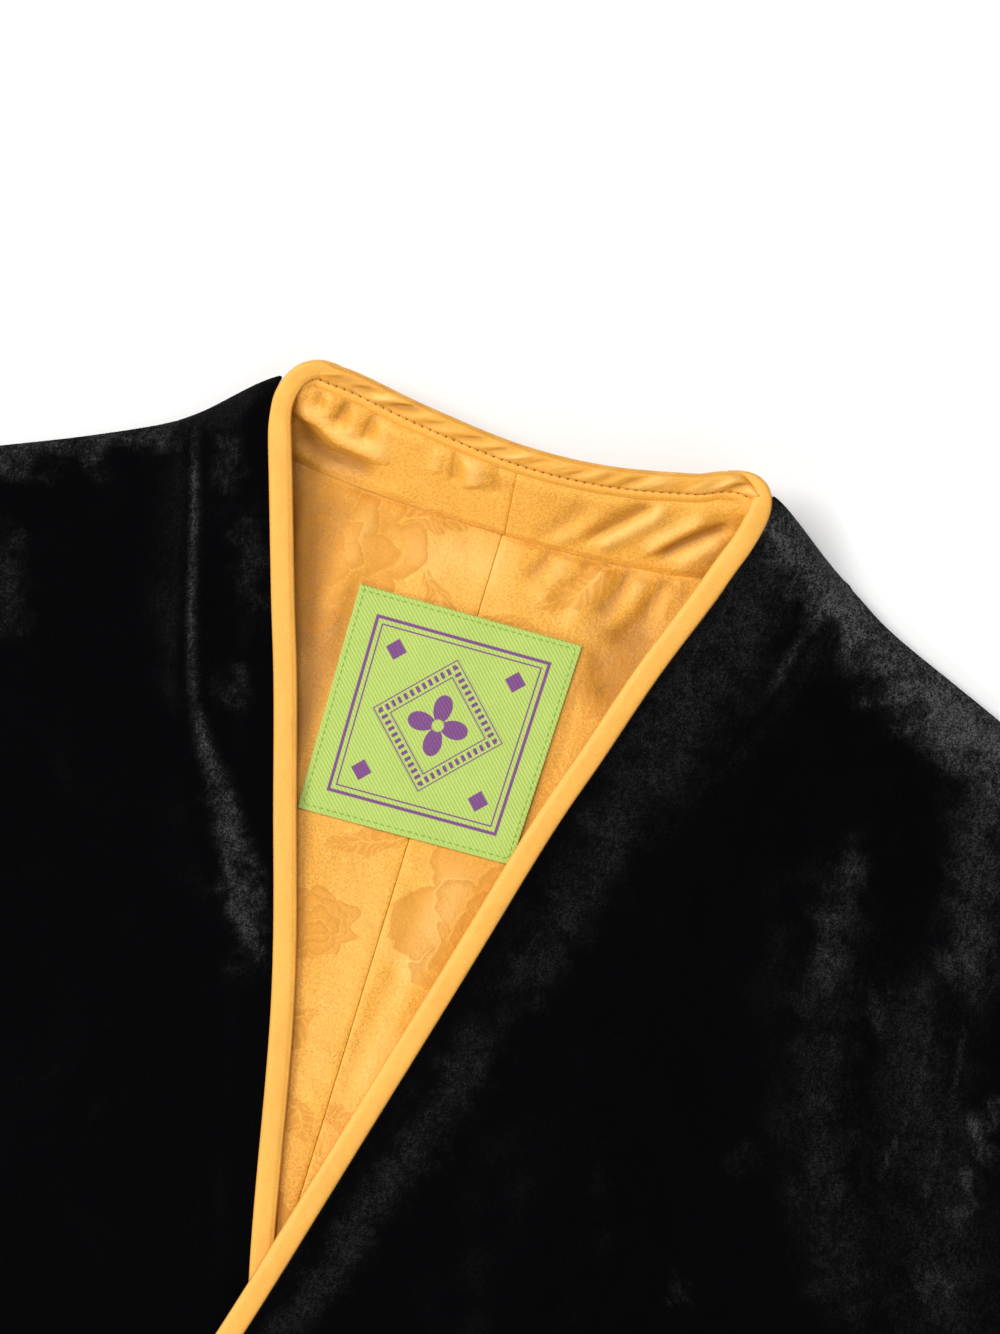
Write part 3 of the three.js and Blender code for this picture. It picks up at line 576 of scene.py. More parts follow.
def split_edge(rows):
    """A front's edge above and below the point where the lap closes."""
    at = [down for _, down in rows].index(CLOSING_DOWN)
    return Curve(rows[: at + 1]), Curve(rows[at:])


SIDE_LEFT, SIDE_RIGHT = Curve(SIDE_SEAM), Curve(mirrored(SIDE_SEAM))
SIDE_TOP_LEFT, SIDE_TOP_RIGHT = SIDE_SEAM[0], mirrored(SIDE_SEAM)[0]
OUTLINE_RIGHT = {
    "top": Curve(SHOULDER_RIGHT[::-1]),
    "level": line(SIDE_TOP_RIGHT, (-9, CLOSING_DOWN)),
    "hem": hem(-HALF_HEM, LAP_UNDER),
    "left": (Curve([SHOULDER_RIGHT[-1], *mirrored(ARMHOLE_FRONT), SIDE_TOP_RIGHT]), SIDE_RIGHT),
    "right": split_edge(EDGE_UNDER),
}
OUTLINE_LEFT = {
    "top": Curve(SHOULDER_LEFT),
    "level": line((-0.5, CLOSING_DOWN), SIDE_TOP_LEFT),
    "hem": hem(LAP_OVER, HALF_HEM),
    "left": split_edge(EDGE_OVER),
    "right": (Curve([SHOULDER_LEFT[-1], *ARMHOLE_FRONT, SIDE_TOP_LEFT]), SIDE_LEFT),
}
BACK_NECK = [(x, down + SEAM_GAP) for x, down in NECK_SEAM[1:-1]]
OUTLINE_BACK = {
    "top": Curve([*SHOULDER_RIGHT[:1:-1], *BACK_NECK, *SHOULDER_LEFT[2:]]),
    "level": line(SIDE_TOP_RIGHT, SIDE_TOP_LEFT),
    "hem": hem(-HALF_HEM, HALF_HEM),
    "left": (Curve([SHOULDER_RIGHT[-1], *mirrored(ARMHOLE_BACK), SIDE_TOP_RIGHT]), SIDE_RIGHT),
    "right": (Curve([SHOULDER_LEFT[-1], *ARMHOLE_BACK, SIDE_TOP_LEFT]), SIDE_LEFT),
}
FRONT_UNDER = {
    "node": "front_right", "outline": OUTLINE_RIGHT, "edge": EDGE_UNDER, "shoulder": Curve(SHOULDER_RIGHT),
    "side": SIDE_RIGHT, "ridges": RIDGES_RIGHT, "nap": NAP_AND_SHEEN_RIGHT, "lap": False, "seed": 11,
    "dart": [(-90, 13), (-84, 32), (-79.6, 49), (-74, 70), (-70, 88)],
}
FRONT_OVER = {
    "node": "front_left", "outline": OUTLINE_LEFT, "edge": EDGE_OVER, "shoulder": Curve(SHOULDER_LEFT),
    "side": SIDE_LEFT, "ridges": RIDGES_LEFT, "nap": NAP_AND_SHEEN_LEFT, "lap": True, "seed": 21,
    "dart": [(87, 3), (84.6, 20), (78.3, 43.6), (68.2, 63.3), (60, 78)],
}


# Shader helpers
class Nodes:
    """Makes and links the nodes of one tree in few words."""

    def __init__(self, tree):
        self.tree = tree

    def add(self, kind, *inputs, out=0, **settings):
        node = self.tree.nodes.new(kind)
        for key, value in settings.items():
            setattr(node, key, value)
        for socket, value in zip(node.inputs, inputs):
            self.set(socket, value)
        return node.outputs[out]

    def set(self, socket, value):
        if isinstance(value, bpy.types.NodeSocket):
            self.tree.links.new(value, socket)
        elif value is not None:
            socket.default_value = value

    def math(self, operation, a, b=None, c=None):
        return self.add("ShaderNodeMath", a, b, c, operation=operation)

    def vector(self, operation, a, b=None, out=0):
        return self.add("ShaderNodeVectorMath", a, b, operation=operation, out=out)

    def named(self, kind, **inputs):
        """A node whose inputs are given by name, with a low line for each blank."""
        node = self.tree.nodes.new(kind)
        for key, value in inputs.items():
            self.set(node.inputs[key.replace("_", " ")], value)
        return node

    def noise(self, vector, scale, detail=3.0, roughness=0.5):
        node = self.named("ShaderNodeTexNoise", Vector=vector, Scale=scale, Detail=detail, Roughness=roughness)
        return node.outputs["Fac"]

    def wave(self, kind, value, length):
        """A sine or cosine wave of a given length along a value."""
        return self.math(kind, self.math("MULTIPLY", value, FULL_TURN / length))

    def ramp(self, value, low, high):
        """value mapped so that low gives 0 and high gives 1, smoothly."""
        node = self.named("ShaderNodeMapRange", Value=value, From_Min=low, From_Max=high)
        node.interpolation_type = "SMOOTHSTEP"
        return node.outputs["Result"]

    def shaded(self, colour, value):
        """A colour made lighter or darker by a value."""
        return self.blend(1.0, colour, self.add("ShaderNodeCombineColor", value, value, value), "MULTIPLY")

    def blend(self, factor, a, b, mode="MIX"):
        node = self.tree.nodes.new("ShaderNodeMix")
        node.data_type = "RGBA"
        node.blend_type = mode
        for socket, value in ((node.inputs[0], factor), (node.inputs[6], a), (node.inputs[7], b)):
            self.set(socket, value)
        return node.outputs[2]

    def bump(self, height, strength, distance, normal=None):
        node = self.named("ShaderNodeBump", Height=height, Strength=strength, Distance=distance, Normal=normal)
        return node.outputs["Normal"]

    def group(self, tree, **inputs):
        node = self.tree.nodes.new("ShaderNodeGroup")
        node.node_tree = tree
        for key, value in inputs.items():
            self.set(node.inputs[key], value)
        return node.outputs


def shader_group(name, inputs, outputs, build):
    """A shader node group, made once, whose build function maps its inputs to its outputs."""
    if name in bpy.data.node_groups:
        return bpy.data.node_groups[name]
    tree = bpy.data.node_groups.new(name, "ShaderNodeTree")
    for key, (kind, default) in inputs.items():
        socket = tree.interface.new_socket(name=key, in_out="INPUT", socket_type=kind)
        if default is not None:
            socket.default_value = default
    for key, kind in outputs.items():
        tree.interface.new_socket(name=key, in_out="OUTPUT", socket_type=kind)
    n = Nodes(tree)
    into, out = tree.nodes.new("NodeGroupInput"), tree.nodes.new("NodeGroupOutput")
    for key, socket in build(n, into.outputs).items():
        n.set(out.inputs[key], socket)
    return tree


FLOAT, VECTOR, COLOR = "NodeSocketFloat", "NodeSocketVector", "NodeSocketColor"


def weave_group():
    """Crossed threads, with some of the threads thicker than others."""
    def build(n, inputs):
        spacing = n.math("DIVIDE", FULL_TURN, inputs["Spacing"])
        parts = n.add("ShaderNodeSeparateXYZ", inputs["Vector"]).node.outputs
        warp = n.math("SINE", n.math("MULTIPLY", parts[0], spacing))
        weft = n.math("SINE", n.math("MULTIPLY", parts[1], spacing))
        slub = n.noise(n.vector("MULTIPLY", inputs["Vector"], (0.6, 0.04, 1.0)), 1.0, 2.0)
        height = n.math("MULTIPLY_ADD", warp, inputs["Warp"], n.math("MULTIPLY", weft, inputs["Weft"]))
        return {"Height": n.math("ADD", height, n.math("MULTIPLY", slub, 0.8))}

    return shader_group(
        "Woven threads",
        {"Vector": (VECTOR, None), "Spacing": (FLOAT, 0.3), "Warp": (FLOAT, 0.5), "Weft": (FLOAT, 0.5)},
        {"Height": FLOAT},
        build,
    )


def colour_drift_group():
    """Slight cloudy change of a cloth's colour over its surface."""
    def build(n, inputs):
        cloud = n.noise(inputs["Vector"], inputs["Scale"], 4.0, 0.6)
        amount = n.math("MULTIPLY", n.math("SUBTRACT", cloud, 0.5), inputs["Amount"])
        drifted = n.named("ShaderNodeHueSaturation", Color=inputs["Color"], Value=n.math("ADD", 1.0, amount))
        return {"Color": drifted.outputs[0], "Cloud": cloud}

    return shader_group(
        "Colour drift",
        {"Vector": (VECTOR, None), "Color": (COLOR, None), "Scale": (FLOAT, 40.0), "Amount": (FLOAT, 0.2)},
        {"Color": COLOR, "Cloud": FLOAT},
        build,
    )


MOTIF_INPUTS = {
    "Vector": (VECTOR, None), "Centre": (VECTOR, (0, 0, 0)), "Size": (FLOAT, 20.0), "Turn": (FLOAT, 0.0),
}


def flower_group():
    """One woven flower head: scalloped rings of petals, each woven strongest at its rim, with a thin gap between
    rings.
    """
    def build(n, inputs):
        place = n.vector("SUBTRACT", inputs["Vector"], inputs["Centre"])
        parts = n.add("ShaderNodeSeparateXYZ", place).node.outputs
        radius = n.math("DIVIDE", n.vector("LENGTH", place, out=1), inputs["Size"])
        angle = n.math("ADD", n.math("ARCTAN2", parts[1], parts[0]), inputs["Turn"])
        wobble = n.noise(n.vector("MULTIPLY", inputs["Vector"], (0.12, 0.12, 0.12)), 1.0, 2.0)
        total = None
        for share, petals, shift in ((1.0, 7.0, 0.0), (0.72, 6.0, 0.5), (0.46, 5.0, 1.1), (0.22, 4.0, 0.3)):
            scallop = n.math("ABSOLUTE", n.math("SINE", n.math("MULTIPLY_ADD", angle, petals / 2, shift)))
            rim = n.math("MULTIPLY", n.math("MULTIPLY_ADD", n.math("POWER", scallop, 0.6), 0.26, 0.74), share)
            rim = n.math("ADD", rim, n.math("MULTIPLY", n.math("SUBTRACT", wobble, 0.5), 0.30))
            depth = n.math("SUBTRACT", rim, radius)
            inside = n.ramp(depth, 0.0, 0.03)
            shade = n.math("MULTIPLY_ADD", n.ramp(depth, 0.20, 0.03), 0.38, 0.48)
            ring = n.math("MULTIPLY", n.ramp(depth, 0.015, 0.05), shade)
            if total is not None:
                outer = n.math("MULTIPLY", total, n.math("SUBTRACT", 1.0, inside))
                ring = n.math("ADD", outer, n.math("MULTIPLY", ring, inside))
            total = ring
        return {"Mask": total}

    return shader_group("Woven flower", MOTIF_INPUTS, {"Mask": FLOAT}, build)


def leaf_group():
    """One woven leaf with a midrib and slanting veins."""
    def build(n, inputs):
        place = n.vector("SUBTRACT", inputs["Vector"], inputs["Centre"])
        turned = n.add("ShaderNodeVectorRotate", place, (0, 0, 0), (0, 0, 1), inputs["Turn"])
        parts = n.add("ShaderNodeSeparateXYZ", turned).node.outputs
        along = n.math("DIVIDE", parts[0], inputs["Size"])
        bow = n.math("POWER", n.math("ABSOLUTE", along), 1.7)
        width = n.math("MULTIPLY", n.math("SUBTRACT", 1.0, bow), 0.34)
        off = n.math("ABSOLUTE", n.math("DIVIDE", parts[1], inputs["Size"]))
        depth = n.math("SUBTRACT", width, off)
        veins = n.ramp(n.math("SINE", n.math("MULTIPLY", n.math("SUBTRACT", along, off), 34.0)), -0.6, 0.3)
        rib = n.ramp(off, 0.012, 0.035)
        body = n.math("MULTIPLY", n.ramp(depth, 0.0, 0.02), n.math("MULTIPLY_ADD", veins, 0.4, 0.35))
        return {"Mask": n.math("MULTIPLY", body, rib)}

    return shader_group("Woven leaf", MOTIF_INPUTS, {"Mask": FLOAT}, build)


def new_material(name, **finish):
    """A material, its nodes and its shader, with the shader's constants by name."""
    material = bpy.data.materials.new(name)
    material.use_nodes = True
    shader = material.node_tree.nodes["Principled BSDF"]
    for key, value in finish.items():
        shader.inputs[key.replace("_", " ")].default_value = value
    return material, Nodes(material.node_tree), shader


def velvet_material():
    """Pile velvet: almost black face on, grey where its point values say: crushed pile in patches, and painted
    sheen on folds, rims and slopes.
    """
    name = "Black velvet"
    if name in bpy.data.materials:
        return bpy.data.materials[name]
    material, n, shader = new_material(
        name, Specular_IOR_Level=0.02, Sheen_Weight=0.025, Sheen_Roughness=0.32, Sheen_Tint=(0.86, 0.90, 1.0, 1.0),
    )
    colours = bpy.context.scene.gilet_colours
    place = n.add("ShaderNodeTexCoord", out=3)
    nap = n.add("ShaderNodeAttribute", attribute_name="nap", out=2)
    mottle = n.noise(n.vector("MULTIPLY", place, (1.0, 0.6, 1.0)), 900.0, 5.0, 0.75)
    patches = n.noise(place, 95.0, 4.0, 0.65)
    pile = n.noise(place, 1900.0, 2.0, 0.7)
    crushed = n.ramp(n.math("MULTIPLY_ADD", mottle, 0.62, n.math("MULTIPLY", patches, 0.38)), 0.41, 0.61)
    # Grey of crushed pile and of painted sheen, broken up by the pile's mottle
    crush_and_sheen = n.math("MULTIPLY", nap, n.math("MULTIPLY_ADD", crushed, 0.80, 0.20))
    grain = n.math("MULTIPLY_ADD", n.ramp(pile, 0.38, 0.66), 0.86, 0.17)
    amount = n.math("MULTIPLY", crush_and_sheen, grain)
    colour = n.blend(amount, (*colours.velvet, 1.0), (*colours.velvet_crush_and_sheen, 1.0))
    n.set(shader.inputs["Base Color"], colour)
    n.set(shader.inputs["Roughness"], n.math("MULTIPLY_ADD", crushed, -0.12, 0.95))
    lumps = n.bump(mottle, 0.5, 0.0012)
    n.set(shader.inputs["Normal"], n.bump(pile, 0.5, 0.0004, lumps))
    return material


def satin_material(name, figured=False, strip=False):
    """Golden satin: smooth and shining, finely grained, and where figured, flowers woven in its dull side."""
    material, n, shader = new_material(
        name, Specular_IOR_Level=0.8, Specular_Tint=(1.0, 0.78, 0.46, 1.0), Sheen_Weight=0.04, Sheen_Roughness=0.4,
        Sheen_Tint=(1.0, 0.86, 0.6, 1.0),
    )
    colours = bpy.context.scene.gilet_colours
    place = n.add("ShaderNodeTexCoord", out=3)
    cut = n.add("ShaderNodeUVMap", uv_map="cut")
    base = n.group(colour_drift_group(), Vector=place, Color=(*colours.satin, 1.0), Scale=44.0, Amount=0.30)
    grain = n.noise(place, 1900.0, 2.0, 0.6)
    pebbles = n.noise(place, 900.0, 2.0, 0.5)
    threads = n.group(weave_group(), Vector=cut, Spacing=0.32, Warp=0.25, Weft=0.6)["Height"]
    rough = 0.4 if strip else 1.0
    speckle = n.math("MULTIPLY_ADD", n.ramp(grain, 0.3, 0.7), 0.40 * rough, 1.01 - 0.20 * rough)
    colour = n.shaded(base["Color"], speckle)
    # Painted shade deep in folds and painted highlight on their ridges, from the fold point values
    depth = n.add("ShaderNodeAttribute", attribute_name="fold", out=2)
    for share, tint in ((0.62, colours.satin_painted_shade), (-0.6, colours.satin_painted_highlight)):
        amount = n.math("MAXIMUM", n.math("MULTIPLY", depth, share), 0.0)
        colour = n.blend(amount, colour, (*tint, 1.0))
    roughness = n.math("MULTIPLY_ADD", base["Cloud"], 0.12, 0.40 if strip else 0.30)
    relief = n.math("MULTIPLY_ADD", pebbles, 2.2, n.math("MULTIPLY", threads, 0.4))
    relief = n.math("MULTIPLY_ADD", grain, 1.2, relief)
    if figured:
        mask = flowers(n, cut)
        coarse = n.math("MULTIPLY_ADD", n.ramp(grain, 0.38, 0.58), 0.45, 0.55)
        colour = n.blend(n.math("MULTIPLY", mask, coarse), colour, (*colours.satin_figure, 1.0))
        roughness = n.math("MULTIPLY_ADD", mask, 0.22, roughness)
    n.set(shader.inputs["Base Color"], colour)
    n.set(shader.inputs["Roughness"], roughness)
    soft = n.bump(n.noise(place, 210.0, 3.0, 0.55), 0.16 if strip else 0.26, 0.0011)
    n.set(shader.inputs["Normal"], n.bump(relief, 0.55 * rough, 0.00013, soft))
    return material


# One repeat of the lining's pattern, in millimetres: flower heads and leaves
REPEAT = (118.0, 142.0)
FLOWERS = [((74, 108), 25, 0.3), ((30, 19), 31, 1.7), ((108, 62), 18, 0.9), ((100, 8), 12, 2.4)]
LEAVES = [
    ((70, 18), 17, 0.5), ((62, 62), 15, -0.7), ((14, 74), 16, 1.1), ((24, 118), 15, 2.3),
    ((97, 122), 14, -0.4), ((78, 44), 12, 1.6), ((106, 34), 14, 2.6), ((108, 98), 13, 0.8),
    ((38, 94), 13, -1.2), ((6, 100), 12, 0.1),
]


def flowers(n, cut):
    """Mask of the lining's flowers and leaves, on a repeat that bends a little."""
    bend = n.named("ShaderNodeTexNoise", Vector=cut, Scale=0.075).outputs["Color"]
    moved = n.vector("MULTIPLY", n.vector("SUBTRACT", bend, (0.5, 0.5, 0.5)), (15.0, 15.0, 0.0))
    wrapped = n.vector("WRAP", n.vector("ADD", cut, moved), (*REPEAT, 1.0))
    mask = 0.0
    for kind, rows in ((flower_group(), FLOWERS), (leaf_group(), LEAVES)):
        for (x, y), size, turn in rows:
            one = n.group(kind, Vector=wrapped, Centre=(x, y, 0.0), Size=size, Turn=turn)["Mask"]
            mask = n.math("MAXIMUM", mask, one)
    return mask


# Velvet fronts, back and collar, and the collar's facing
# Rough lengths of a panel above and below the level where the lap closes, for the rounding of its rims
UPPER_LENGTH, LOWER_LENGTH = 230, 368


def body_rows(upper, lower):
    """Shares down the upper and the lower part of a body panel, with a rim at its top and at its hem."""
    return rim_start(upper, UPPER_LENGTH), rim_end(spaced(lower), LOWER_LENGTH)


def front_grid(side):
    """Middle points of a front, with more columns near its bound edge."""
    columns, upper, lower = ((125, 150, 55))
    us = spaced(columns, 1.35)
    us = us if side["lap"] else 1 - us[::-1]
    plan = body_patch(side["outline"], with_rim(us, 190, 1.0), *body_rows(spaced(upper, 1.2), lower))
    return np.dstack([plan, front_height(side, plan[..., 0], plan[..., 1])])


def nap_and_sheen_of(rows, points, seed):
    """How grey the velvet is drawn: placed patches with ragged edges, partly crushed pile and partly painted sheen,
    and more painted sheen where the cloth slopes.
    """
    x, y = points[..., 0], points[..., 1]
    ragged_x = x + 1.3 * ripple(x, y, 9, seed) + 0.6 * ripple(x, y, 3.5, seed + 2)
    ragged_y = y + 2.2 * ripple(x, y, 12, seed + 1) + 0.8 * ripple(x, y, 4, seed + 3)
    total = np.zeros(x.shape)
    for row in rows:
        thin = row["start"] < 1.5
        distance, where = Curve(row["path"]).nearest(x if thin else ragged_x, y if thin else ragged_y, 30)
        taper = smooth(5 * np.minimum(where, 1 - where) + 0.25)
        reach = mix(row["start"], row["end"], where)
        total = np.maximum(total, row["amount"] * np.exp(-((distance / reach) ** 2)) * taper)
    # Painted sheen where the cloth slopes away from face on
    slope = 1 - grid_normals(points)[..., 2]
    return np.clip(total + 0.10 * smooth(slope * 7), 0, 1.6)


NECK_CURVE, TOP_CURVE = Curve(NECK_SEAM), Curve(COLLAR_TOP)
INNER_OFFSET = VELVET / 2 + SEAM_GAP + SATIN / 2
# Where the facing's centre-back seam lies along the neck seam
COLLAR_SEAM = 0.497
# How far in from their edges the walls are rounded
BOUND_RIM = 0.45
SATIN_RIM = (0.3, 0.3, 0.3, 0.3)


class GILET_OT_fronts(bpy.types.Operator):
    """Make the two velvet fronts, the wearer's left one lapped on top"""

    bl_idname = "gilet.fronts"
    bl_label = "Velvet fronts"

    def execute(self, context):
        for side in (FRONT_UNDER, FRONT_OVER):
            node, points = side["node"], front_grid(side)
            radii = (1.0, 1.0, BOUND_RIM, 1.0) if side["lap"] else (1.0, 1.0, 1.0, BOUND_RIM)
            nap = nap_and_sheen_of(side["nap"], points, side["seed"])
            piece = cloth_wall(f"velvet_{node}", points, FRONT_WALL, points[..., :2], {"nap": nap}, radii)
            finish_piece(piece, node, velvet_material())
        return {"FINISHED"}


class GILET_OT_back(bpy.types.Operator):
    """Make the velvet back, flat where it rests"""

    bl_idname = "gilet.back"
    bl_label = "Velvet back"

    def execute(self, context):
        us = with_rim(spaced(60), 470, VELVET / 2)
        plan = body_patch(OUTLINE_BACK, us, *body_rows(spaced(36), 36))
        flat = np.ones(plan.shape[:2])
        points = np.dstack([plan, flat * VELVET / 2])
        piece = cloth_wall("velvet_back", points, VELVET, points[..., :2], {"nap": flat * 0.15})
        finish_piece(piece, "back", velvet_material())
        return {"FINISHED"}


class GILET_OT_collar(bpy.types.Operator):
    """Make the back collar: velvet outside, and a satin facing in two halves inside"""

    bl_idname = "gilet.collar"
    bl_label = "Back collar"

    def execute(self, context):
        points = collar_points(0.05, 0.95, 16, 0.06, 0.93)
        nap = np.full(points.shape[:2], 0.1)
        piece = cloth_wall("velvet_collar", points, VELVET, collar_cut(points, 0.05, 0.95), {"nap": nap})
        finish_piece(piece, "collar_outer", velvet_material())
        satin = satin_material("Plain satin")
        for side, start, end in (("right", 0.04, COLLAR_SEAM - 0.0002), ("left", COLLAR_SEAM + 0.0002, 0.965)):
            points = collar_points(start, end, 64, 0.004, creased=True)
            uvs, values = collar_cut(points, start, end), {"fold": collar_painted_shading(points)}
            piece = cloth_wall(f"satin_collar_{side}", points, SATIN, uvs, values, SATIN_RIM)
            finish_piece(piece, f"collar_inner_{side}", satin)
        return {"FINISHED"}


def collar_cut(points, start, end):
    """Places on the collar's cut cloth, in millimetres."""
    rows, columns = points.shape[:2]
    arc, depth = np.linspace(start, end, columns) * COLLAR_ARC, np.linspace(0, COLLAR_DEPTH, rows)
    return np.stack(np.meshgrid(arc, depth), -1)


def collar_points(start, end, rows, first, last=1.0, creased=False, columns=160):
    """Middle points of the collar's velvet, or of its creased facing, from its top down to the neck seam."""
    along = mix(start, end, with_rim(np.linspace(0, 1, columns + 1), 80, 0.6))
    t = mix(last, first, with_rim(spaced(rows), 24, 0.6))[:, None]
    low, high = NECK_CURVE.at(along)[None], TOP_CURVE.at(along)[None]
    plan = low + (high - low) * t[..., None]
    rise = COLLAR_RISE - COLLAR_DIP * np.sin(np.pi * along)[None]
    points = np.dstack([plan, VELVET / 2 + rise * collar_lift(t)])
    if creased:
        points = points + grid_normals(points) * INNER_OFFSET
        x, y = points[..., 0], points[..., 1]
        creases = ridges_at(COLLAR_CREASES, x, y) + 0.08 * ripple(x, y, 9, 6)
        from_top = (1 - t) * 24
        held = smooth(from_top / 4 + 0.2) * smooth((t - first) * 6)
        seam = 0.3 * np.exp(-(((along[None] - COLLAR_SEAM) / 0.0025) ** 2))
        tucked = smooth(1 - from_top / 1.6)
        # Troughs end softly, a little above the velvet
        proud = 0.35 * np.log1p(np.exp((creases + 1.6) / 0.35)) - 0.45
        lift = proud * held - seam - tucked
        points = points + grid_normals(points) * lift[..., None]
    return points


def painted_seam_shade(points, row, reach=0.5):
    """Painted shade along a seam: 1 along one row of a grid of points, where it turns into a seam, falling off
    within a reach.
    """
    distance = np.linalg.norm(points - points[row][None], axis=-1)
    return 1.3 * np.exp(-((distance / reach) ** 2))


def collar_painted_shading(points):
    """Painted shade on the facing: deep in its folds, more past x = -40 towards its corner, and along the neck
    seam; below zero, painted highlight along its ridges.
    """
    x, y = points[..., 0], points[..., 1]
    # Painted shade in the folds and painted highlight on the ridges, with a painted shadow past x = -40 towards the
    # corner
    shaded = shade_of(COLLAR_CREASES, x, y, 1.8) + 0.25 * smooth((-40 - x) / 14)
    return np.clip(shaded + painted_seam_shade(points, -1), -1, 1.5)


# How far down the neck seam lies at the centre back
NECK_MIDDLE = 17.7


# The lining and the label
def label_share(x, y, margin=5.0):
    """1 on the label, falling to 0 past a margin round it."""
    corners = [LABEL_CORNERS[key] for key in ("top_left", "top_right", "low_right", "low_left")]
    outside = np.full(np.shape(x), -np.inf)
    for (ax, a_down), (bx, b_down) in zip(corners, corners[1:] + corners[:1]):
        length = math.hypot(bx - ax, b_down - a_down)
        outside = np.maximum(outside, ((bx - ax) * (y + a_down) + (b_down - a_down) * (x - ax)) / length)
    return smooth(1 - outside / margin)


def lining_height(x, y, creased=True):
    """Middle height of the lining: raised a little in the neck, gathered at its seam, flat below the label."""
    down = -y - NECK_MIDDLE
    raised = 1.3 * smooth(down / 9) * smooth((260 + y) / 60) * smooth((75 - np.abs(x)) / 20)
    height = LINING_MIDDLE + raised + 0.4 * ridges_at(RIDGES_LINING, x, y)
    if creased:
        gather = np.exp(-np.maximum(0, down) / 9.0) * smooth(down / 2.5)
        puckers = 0.22 * gather * (1 + ripple(x, y * 0.2, 5.5, 8)) * (0.5 + smooth((x + 5) / 30))
        creases = puckers + 0.30 * ripple(x, y * 0.6, 30, 9) + 0.04 * ripple(x, y, 8, 10)
        creases = creases + 0.8 * ridges_at(CREASES_LINING, x, y) * smooth(down / 3) + 0.5 * gather
        height = height + creases * smooth(down / 2 + 0.1) * (1 - label_share(x, y))
        height = height - 0.25 * np.exp(-(((x - CENTRE_BACK) / 0.5) ** 2))
    return np.maximum(height, LINING_MIDDLE - 0.25)


def lining_painted_shading(points):
    """Painted shade on the lining: in its creases, as a painted shadow beside the edge of the front that lies
    below, and along the neck seam; below zero, painted highlight on its crests, and painted highlight and shade
    from the sheen table.
    """
    x, y = points[..., 0], points[..., 1]
    creases = shade_of(CREASES_LINING, x, y, 1.6) * smooth((-y - 14) / 3)
    # A painted shadow beside the lower front's raised edge, deeper near the neck
    inside = x - edge_across(EDGE_UNDER, y) - BINDING_WIDTH + 3.5 * ripple(x, y, 17, 19)
    near = smooth(1 - inside / 22) * mix(0.75, 0.16, smooth((-y - 50) / 40))
    drawn = np.clip(creases + near - ridges_at(LINING_SHEEN, x, y), -1, 1)
    return drawn * (1 - label_share(x, y, 1.0)) + painted_seam_shade(points, 0)


def lining_outline(sign):
    """The lining's half outline: the back's, set in from its edges and split down the middle."""
    seam = CENTRE_BACK + sign * 0.03
    flip = lambda rows: [(x * sign, down) for x, down in rows]
    shoulder = flip(SHOULDER_LEFT[2:] if sign > 0 else SHOULDER_RIGHT[2:])
    tip_x, tip_down = shoulder[-1]
    side_x, side_down = SIDE_SEAM[0]
    armhole = [(tip_x, tip_down + LINING_INSET * 0.6), *ARMHOLE_BACK, (side_x, side_down + 4)]
    outer = [(x - LINING_INSET, down) for x, down in armhole]
    side = [outer[-1]] + [(x - LINING_INSET, down) for x, down in SIDE_SEAM[1:-1]]
    side += [(HALF_HEM - LINING_INSET, LENGTH - HEM_INSET - 6)]
    neck = sorted((x * sign, down + 0.1) for x, down in NECK_SEAM[1:-1] if (x - seam) * sign > 4)
    neck += [(x - 4, down + LINING_INSET) for x, down in shoulder[1:-1]]
    top, outer, side = flip([(seam * sign, NECK_MIDDLE), *neck, outer[0]]), flip(outer), flip(side)
    middle, low = (seam, CLOSING_DOWN), (seam, LENGTH - HEM_INSET)
    level, bottom = (middle, outer[-1]), (low, side[-1])
    left = (line((seam, NECK_MIDDLE), middle), line(middle, low))
    right = (Curve(outer), Curve(side))
    if sign < 0:
        top, level, bottom, left, right = top[::-1], level[::-1], bottom[::-1], right, left
    return {"top": Curve(top), "level": line(*level), "hem": line(*bottom), "left": left, "right": right}


class GILET_OT_lining(bpy.types.Operator):
    """Make the two halves of the figured satin back lining"""

    bl_idname = "gilet.lining"
    bl_label = "Back lining"

    def execute(self, context):
        satin = satin_material("Figured satin", figured=True)
        for node, sign in (("lining_right", -1), ("lining_left", 1)):
            us = spaced(88, 1.3)
            us = with_rim(us if sign > 0 else 1 - us[::-1], 220, SATIN / 2)
            rows = rim_start(spaced(150, 1.2), 210), rim_end(spaced(30), 360)
            plan = body_patch(lining_outline(sign), us, *rows)
            points = np.dstack([plan, lining_height(plan[..., 0], plan[..., 1])])
            values = {"fold": lining_painted_shading(points)}
            piece = cloth_wall(f"satin_{node}", points, SATIN, points[..., :2], values, SATIN_RIM)
            finish_piece(piece, node, satin)
        return {"FINISHED"}


# How far past the cloth's edge the binding's middle lies, and how far its turns rise at the corners
BEYOND = BINDING_WIDTH / 2 + 0.4
TURN_LIFT = 0.9
# Where the stitches run across the collar's strip, and how far the rolls are turned to the light
STITCH_LINE = -1.75
ROLL_SHINE = -0.22


def front_binding(side, low):
    """Middle line of the binding along a front's edge, from the hem up to a given place down."""
    plan = Curve(side["edge"]).at(np.linspace(1, 0, 420))
    along = unit(np.gradient(plan, axis=0))
    height = front_height(side, plan[:, 0], plan[:, 1])
    outwards = np.stack([along[:, 1], -along[:, 0]], 1) * (-1 if side["lap"] else 1)
    plan = plan + outwards * BEYOND
    return np.column_stack([plan, height])[-plan[:, 1] > low]


